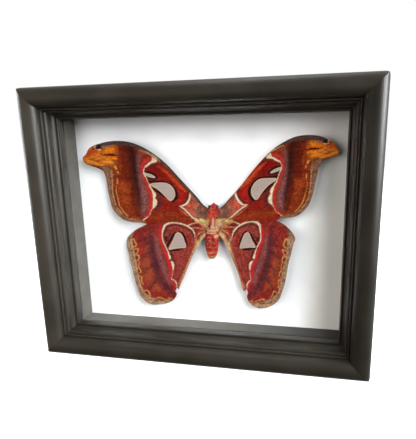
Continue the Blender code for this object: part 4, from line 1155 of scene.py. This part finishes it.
def spikes(roots, aims, lengths, widths, bends):
    """Curved three-sided hairs: vertices and faces, each with a base, a middle ring and a tip."""
    aims = unit(aims)
    helper = np.where(np.abs(aims[:, 2:3]) < 0.9, np.array((0.0, 0.0, 1.0)), np.array((1.0, 0.0, 0.0)))
    side = unit(np.cross(aims, helper))
    other = np.cross(aims, side)
    verts = np.zeros((len(roots), 7, 3))
    middle = roots + aims * lengths[:, None] * 0.55 + bends * 0.3
    verts[:, 6] = roots + aims * lengths[:, None] + bends
    first = np.arange(len(roots))[:, None] * 7
    faces = []
    for corner in range(3):
        angle = 2.0 * math.pi * corner / 3.0
        offset = (side * math.cos(angle) + other * math.sin(angle)) * widths[:, None] * 0.5
        verts[:, corner] = roots + offset
        verts[:, 3 + corner] = middle + offset * 0.75
        after = (corner + 1) % 3
        faces += (first + (corner, after, 3 + after, 3 + corner)).tolist()
        faces += (first + (3 + corner, 3 + after, 6)).tolist()
    faces += (first + (2, 1, 0)).tolist()
    return verts.reshape(-1, 3), faces


def body_hair(rng, count, low, high, length, width):
    """Hairs on the body between two heights, swept back towards the tail, most of them in front."""
    z = rng.uniform(low, high, count)
    in_front = rng.random(count) < FRONT_SHARE
    turn = np.where(in_front, rng.uniform(-math.pi, 0.0, count), rng.uniform(0.0, math.pi, count))
    centre, half_width, depth, half_depth = skin_section(z, 0.2)
    out = unit(np.stack((np.cos(turn) / half_width, np.sin(turn) / half_depth, np.zeros(count)), axis=1))
    roots = np.stack((centre + half_width * np.cos(turn), depth + half_depth * np.sin(turn), z), axis=1)
    sweep = np.array((0.0, 0.0, -1.0))
    aims = out * rng.uniform(0.3, 0.75, count)[:, None] + sweep + rng.normal(0.0, 0.28, (count, 3))
    lengths = rng.uniform(0.6, 1.0, count) * length
    widths = rng.uniform(0.8, 1.2, count) * width
    bends = sweep * (lengths * 0.15)[:, None] + rng.normal(0.0, 0.08, (count, 3))
    return roots, aims, lengths, widths, bends


def make_skin(sides=48):
    """Inner surface of the body, pinched between the segments of the abdomen."""
    levels = np.concatenate((np.linspace(23.0, -4.0, 60), np.linspace(-4.4, -31.3, 70)))
    centre, half_width, depth, half_depth = skin_section(levels, 0.15)
    pinch = np.ones(len(levels))
    for joint in SEGMENT_JOINTS:
        pinch -= 0.055 * np.exp(-((levels - joint) / 0.5) ** 2)
    turn = np.linspace(0.0, 2.0 * math.pi, sides, endpoint=False)
    x = centre[:, None] + (half_width * pinch)[:, None] * np.cos(turn)
    y = depth[:, None] + (half_depth * pinch)[:, None] * np.sin(turn)
    z = np.repeat(levels[:, None], sides, axis=1)
    head = (centre[0], depth[0], levels[0] + 0.2)
    tail = (centre[-1], depth[-1], levels[-1] - 0.3)
    verts = np.vstack((np.stack((x, y, z), axis=2).reshape(-1, 3), head, tail))
    faces = [[a, d, c, b] for a, b, c, d in band(len(levels), sides)]
    last = (len(levels) - 1) * sides
    for index in range(sides):
        after = (index + 1) % sides
        faces.append([after, index, len(verts) - 2])
        faces.append([last + index, last + after, len(verts) - 1])
    return verts, faces


def tube(joints, radii, sides=8, step=0.5):
    """Round tube through the joints, closed at both ends."""
    path = spline([tuple(joint) + (radius,) for joint, radius in zip(joints, radii)], step, False)
    heading = unit(np.gradient(path[:, :3], axis=0))
    side = unit(np.cross(heading, np.array((0.0, 1.0, 0.0))))
    other = np.cross(heading, side)
    turn = np.linspace(0.0, 2.0 * math.pi, sides, endpoint=False)[None, :, None]
    ring = side[:, None, :] * np.cos(turn) + other[:, None, :] * np.sin(turn)
    verts = (path[:, None, :3] + ring * path[:, None, 3:]).reshape(-1, 3)
    faces = band(len(path), sides)
    faces.append(list(range(sides)))
    faces.append([len(verts) - 1 - index for index in range(sides)])
    return verts, faces


def ball(centre, radius, rings=16, sides=24):
    """Round ball with a point at its top and its bottom."""
    polar = np.repeat(np.arange(1, rings) * math.pi / rings, sides)
    turn = np.tile(np.arange(sides) * 2.0 * math.pi / sides, rings - 1)
    across = np.sin(polar)
    around = np.stack((across * np.cos(turn), across * np.sin(turn), np.cos(polar)), axis=1)
    verts = np.array(centre) + radius * np.vstack(((0.0, 0.0, 1.0), around, (0.0, 0.0, -1.0)))
    faces = band(rings - 1, sides, 1)
    last = len(verts) - 1
    for index in range(sides):
        after = (index + 1) % sides
        faces.append([0, 1 + index, 1 + after])
        faces.append([last - sides + index, last, last - sides + after])
    return verts, faces


class Pile:
    """Collects several shapes with a tint and a material number into one mesh."""

    def __init__(self):
        self.verts, self.faces, self.tints, self.slots = [], [], [], []
        self.count = 0

    def add(self, verts, faces, tint, slot=0):
        self.verts.append(verts)
        self.faces += [[index + self.count for index in face] for face in faces]
        self.tints.append(np.broadcast_to(tint, (len(verts), 3)))
        self.slots += [slot] * len(faces)
        self.count += len(verts)

    def make(self, name, materials):
        obj = object_from(name, row(np.vstack(self.verts)), self.faces, materials, self.slots)
        store(obj.data, "tint", np.vstack(self.tints), "color")
        return obj


def make_body(fur, gloss):
    """Skin, eyes and legs in one piece, then the coats of hair."""
    rng = np.random.default_rng(7)
    pile = Pile()
    verts, faces = make_skin()
    pile.add(verts, faces, body_tint(rng, verts[:, 0], verts[:, 2]) * 0.75)
    for spot in EYES:
        verts, faces = ball(spot, EYE_RADIUS)
        pile.add(verts, faces, display_colour("black"), 1)
    for joints in LEGS_LEFT:
        for mirror in (1.0, -1.0):
            turned = [(BODY_CENTRE_X + mirror * (x - BODY_CENTRE_X), d, z) for x, d, z in joints]
            verts, faces = tube(turned, (LEG_RADIUS, LEG_RADIUS * 0.8, LEG_RADIUS * 0.45))
            pile.add(verts, faces, display_colour("fur_brown"))
    body = pile.make("moth_body_skin", [fur, gloss])
    body.data.shade_smooth()
    body.data.set_sharp_from_angle(angle=math.radians(60.0))
    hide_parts("moth_body")
    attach(body, "root")
    for name, batches in COATS:
        coat = Pile()
        for batch in batches:
            hairs = body_hair(rng, *batch)
            verts, faces = spikes(*hairs)
            roots = hairs[0]
            coat.add(verts, faces, np.repeat(body_tint(rng, roots[:, 0], roots[:, 2]), 7, axis=0))
        piece = coat.make(name, [fur])
        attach(piece, "root")
    make_root_hair(rng, fur)


def make_root_hair(rng, fur):
    """Fans of long pale hair that lie over the roots of the wings on each side of the thorax."""
    pile = Pile()
    for side, near_spot, far_spot in ROOT_FANS:
        count = ROOT_HAIRS
        along = rng.random(count) ** 1.3
        across = np.clip(rng.normal(0.0, 0.5, count), -1.15, 1.15)
        reach = 4.6 * (1.0 - along) + 1.4 * along
        spine = near_spot + np.subtract(far_spot, near_spot) * along[:, None]
        x = spine[:, 0] + rng.normal(0.0, 0.4, count)
        z = spine[:, 1] + across * reach
        lift = np.where(z < FORE_EDGE, HINDWING_DEPTH, FOREWING_DEPTH)
        nearness = np.clip(1.0 - along * 2.6, 0.0, 1.0)
        depth = lift + wing_relief(x, z) - 0.35 - nearness * 2.4
        slope = across * 0.42 + rng.normal(0.0, 0.20, count)
        aims = np.stack((np.full(count, side), nearness * 0.32 - 0.04, slope), axis=1)
        lengths = rng.uniform(1.8, 4.0, count)
        bends = rng.normal(0.0, 0.16, (count, 3)) * np.array((1.0, 0.3, 1.0))
        clump = mottle(rng, x, z * 1.6, 1.3)
        tint = np.tile(display_colour("fur_cream"), (count, 1))
        for name, cover in (
            ("fur_yellow", ramp(clump, 0.42, 0.5)),
            ("fur_orange", ramp(clump, 0.74, 0.8) * 0.9),
            ("fur_dull", ramp(clump, 0.88, 0.90) * 0.9),
            ("fur_dull", ramp(-clump, -0.12, -0.10)),
            ("fur_brown", ramp(across, 0.55, 0.95) * 0.8),
            ("fur_red", ramp(-across, 0.45, 0.9) * ramp(rng.random(count), 0.2, 0.5)),
        ):
            tint = tint + (display_colour(name) - tint) * cover[:, None]
        widths = rng.uniform(0.16, 0.25, count)
        verts, faces = spikes(np.stack((x, depth, z), axis=1), aims, lengths, widths, bends)
        pile.add(verts, faces, np.repeat(tint * rng.uniform(0.6, 1.2, (count, 1)), 7, axis=0))
    coat = pile.make("moth_wing_root_hair", [fur])
    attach(coat, "root")


def make_antennae(horn):
    """Curved shafts with two rows of fine barbs each."""
    for side, joints in ANTENNAE.items():
        pile = Pile()
        tint = display_colour(ANTENNA_TINTS[side])
        radii = np.linspace(ANTENNA_RADIUS, ANTENNA_RADIUS * 0.45, len(joints))
        verts, faces = tube(joints, radii, sides=10, step=0.25)
        pile.add(verts, faces, tint * 0.7)
        path = spline([tuple(joint) for joint in joints], BARB_PITCH, False)[2:]
        heading = unit(np.gradient(path, axis=0))
        across = unit(np.cross(heading, np.array((0.0, 1.0, 0.0))))
        reach = np.sin(np.linspace(0.25, 1.0, len(path)) * math.pi) ** 0.6 * BARB_LENGTH + 0.1
        for sign in (-1.0, 1.0):
            aims = across * sign + heading * 0.55
            bends = heading * (reach * 0.25)[:, None] + np.array((0.0, 0.12, 0.0))
            verts, faces = spikes(path, aims, reach, np.full(len(path), 0.14), bends)
            pile.add(verts, faces, tint)
        antenna = pile.make(f"antenna_{side}_feathered", [horn])
        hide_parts(f"antenna_{side}")
        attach(antenna, "root")


# Frame, light and camera

def make_rails():
    """The four rails of the solids, with their mitres drawn together as glue holds them."""
    half_width = CAD_BOX[1][0]
    half_height = (CAD_BOX[1][2] - CAD_BOX[0][2]) / 2.0
    for side, axis, painted_light_gain in RAILS:
        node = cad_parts[f"rail_{side}"]
        mesh = node.data.copy()
        spots = np.empty(len(mesh.vertices) * 3)
        mesh.vertices.foreach_get("co", spots)
        spots = spots.reshape(-1, 3)
        across = half_width - np.abs(spots[:, 0])
        up = half_height - np.abs(spots[:, 2] - half_height)
        at_mitre = np.abs(across - up) < MITRE_REACH * 0.001
        outward = np.sign(spots[:, axis] - (half_height if axis == 2 else 0.0))
        spots[:, axis] += outward * at_mitre * MITRE_SETBACK * 0.001
        mesh.vertices.foreach_set("co", spots.ravel())
        mesh.materials.clear()
        mesh.materials.append(frame_paint(f"frame_paint_{side}", "xyz"[axis], painted_light_gain))
        mesh.update()
        rail = linked(f"rail_{side}_painted", mesh)
        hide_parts(node.name)
        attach(rail, "root")


def dress_cad():
    """Materials for the CAD nodes that stay in view."""
    metal = steel()
    looks = {
        "glass": pane(), "backing_board": white_board(), "back_panel": brown_board(),
        "wall_": wall_paint(), "tab_": metal, "hanger": metal, "pin_": enamel(),
    }
    for name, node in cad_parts.items():
        for start, material in looks.items():
            if not name.startswith(start):
                continue
            if not node.material_slots:
                node.data.materials.append(material)
            for slot in node.material_slots:
                slot.material = material
    pane_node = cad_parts["glass"]
    pane_node.visible_shadow = False
    pane_node.visible_diffuse = False


def area_light(name, place, size, power, colour, unseen_by):
    """Rectangular lamp aimed at the frame, which some kinds of rays don't see."""
    light = bpy.data.lights.new(name, "AREA")
    light.shape = "RECTANGLE"
    light.size, light.size_y = size
    light.energy = power
    light.color = colour
    lamp = linked(name, light)
    lamp.location = place
    lamp.rotation_euler = (Vector(LIGHT_AIM) - Vector(place)).to_track_quat("-Z", "Y").to_euler()
    for rays in unseen_by:
        setattr(lamp, f"visible_{rays}", False)


def make_light():
    """Daylight from the upper right, a warm fill from the left, a weak lamp close by, and gloss lamps."""
    for lamp in (
        ("key", (1.90, -1.50, 1.55), (2.4, 2.6), 225.0, (0.95, 0.97, 1.0), ("glossy",)),
        ("fill", (-2.3, -1.0, 0.40), (1.5, 1.6), 70.0, (1.0, 0.93, 0.86), ("glossy",)),
        ("side", (-0.30, -0.60, 0.22), (0.4, 0.4), 2.6, (0.97, 0.98, 1.0), ("glossy", "transmission")),
    ):
        area_light(*lamp)
    # these show in gloss only
    for name, place, size, power in (
        ("gloss_left", (-1.9, 0.34, 0.35), (0.6, 1.0), 16.0),
        ("gloss_right", (1.9, -0.30, 0.50), (1.0, 0.6), 52.0),
        ("gloss_above", (-0.2, 0.10, 2.0), (1.4, 0.6), 10.0),
    ):
        area_light(name, place, size, power, (0.94, 0.98, 0.98), ("diffuse", "transmission"))


def make_world():
    """Dim room, a brighter wall behind the frame, soft light on matt faces, white for the camera."""
    world = bpy.data.worlds.new("studio")
    bpy.context.scene.world = world
    world.use_nodes = True
    tree = world.node_tree
    kind = tree.nodes.new("ShaderNodeLightPath")
    under = tree.nodes["Background"]
    under.inputs["Color"].default_value = (1.0, 0.93, 0.82, 1.0)
    under.inputs["Strength"].default_value = 0.03
    # the bright wall behind the frame, which its outer sides mirror at a grazing angle
    heading = tree.nodes.new("ShaderNodeSeparateXYZ")
    tree.links.new(tree.nodes.new("ShaderNodeTexCoord").outputs["Generated"], heading.inputs[0])
    behind = tree.nodes.new("ShaderNodeMapRange")
    behind.inputs["From Min"].default_value = 0.05
    behind.inputs["From Max"].default_value = 0.45
    tree.links.new(heading.outputs["Y"], behind.inputs["Value"])
    for share, colour, strength in (
        (behind.outputs["Result"], (1.0, 0.98, 0.94, 1.0), 0.8),
        (kind.outputs["Is Diffuse Ray"], (1.0, 0.94, 0.86, 1.0), 0.12),
        (kind.outputs["Is Camera Ray"], (1.0, 1.0, 1.0, 1.0), 1.0),
    ):
        over = tree.nodes.new("ShaderNodeBackground")
        over.inputs["Color"].default_value = colour
        over.inputs["Strength"].default_value = strength
        blend = tree.nodes.new("ShaderNodeMixShader")
        tree.links.new(share, blend.inputs[0])
        tree.links.new(under.outputs[0], blend.inputs[1])
        tree.links.new(over.outputs[0], blend.inputs[2])
        under = blend
    tree.links.new(under.outputs[0], tree.nodes["World Output"].inputs["Surface"])


def make_floor():
    """Bright ground that shows to the camera alone."""
    look = Look(
        "floor", Roughness=0.9, Specular_IOR_Level=0.0,
        Emission_Color=(1.0, 1.0, 1.0, 1.0), Emission_Strength=0.9,
    )
    cloud = look.noise(look.place(), 0.004, 2.0)
    colour = look.layers((0.93, 0.93, 0.93), (cloud, 0.3, 0.7, 0.0, 1.0, (0.91, 0.91, 0.91)))
    around = ((-1, -1), (1, -1), (1, 1), (-1, 1))
    corners = [(GROUND_HALF * x, GROUND_HALF * y, GROUND_Z) for x, y in around]
    floor = object_from("floor", corners, [[0, 1, 2, 3]], [look.finish(colour)])
    floor.visible_glossy = False
    floor.visible_diffuse = False
    floor.visible_transmission = False


def make_camera():
    data = bpy.data.cameras.new("camera")
    data.sensor_width = SENSOR
    data.sensor_fit = "AUTO"
    data.lens = FOCAL_PIXELS * SENSOR / IMAGE_HEIGHT
    data.shift_x, data.shift_y = CAMERA_SHIFT
    data.clip_start = 0.01
    camera = linked("camera", data)
    turn = (
        Matrix.Rotation(math.radians(CAMERA_YAW), 4, "Z")
        @ Matrix.Rotation(math.radians(CAMERA_PITCH), 4, "X")
        @ Matrix.Rotation(math.radians(CAMERA_ROLL), 4, "Y")
        @ Matrix.Rotation(math.radians(90.0), 4, "X")
    )
    camera.matrix_world = Matrix.Translation(CAMERA_PLACE) @ turn
    bpy.context.scene.camera = camera
    bpy.context.scene.view_settings.view_transform = "Standard"


def main():
    make_camera()
    make_light()
    make_world()
    make_floor()
    dress_cad()
    make_rails()
    make_wings(wing_scales())
    make_body(hair("body_fur", 0.85), eye_gloss())
    make_antennae(hair("antenna_horn", 0.7))


main()
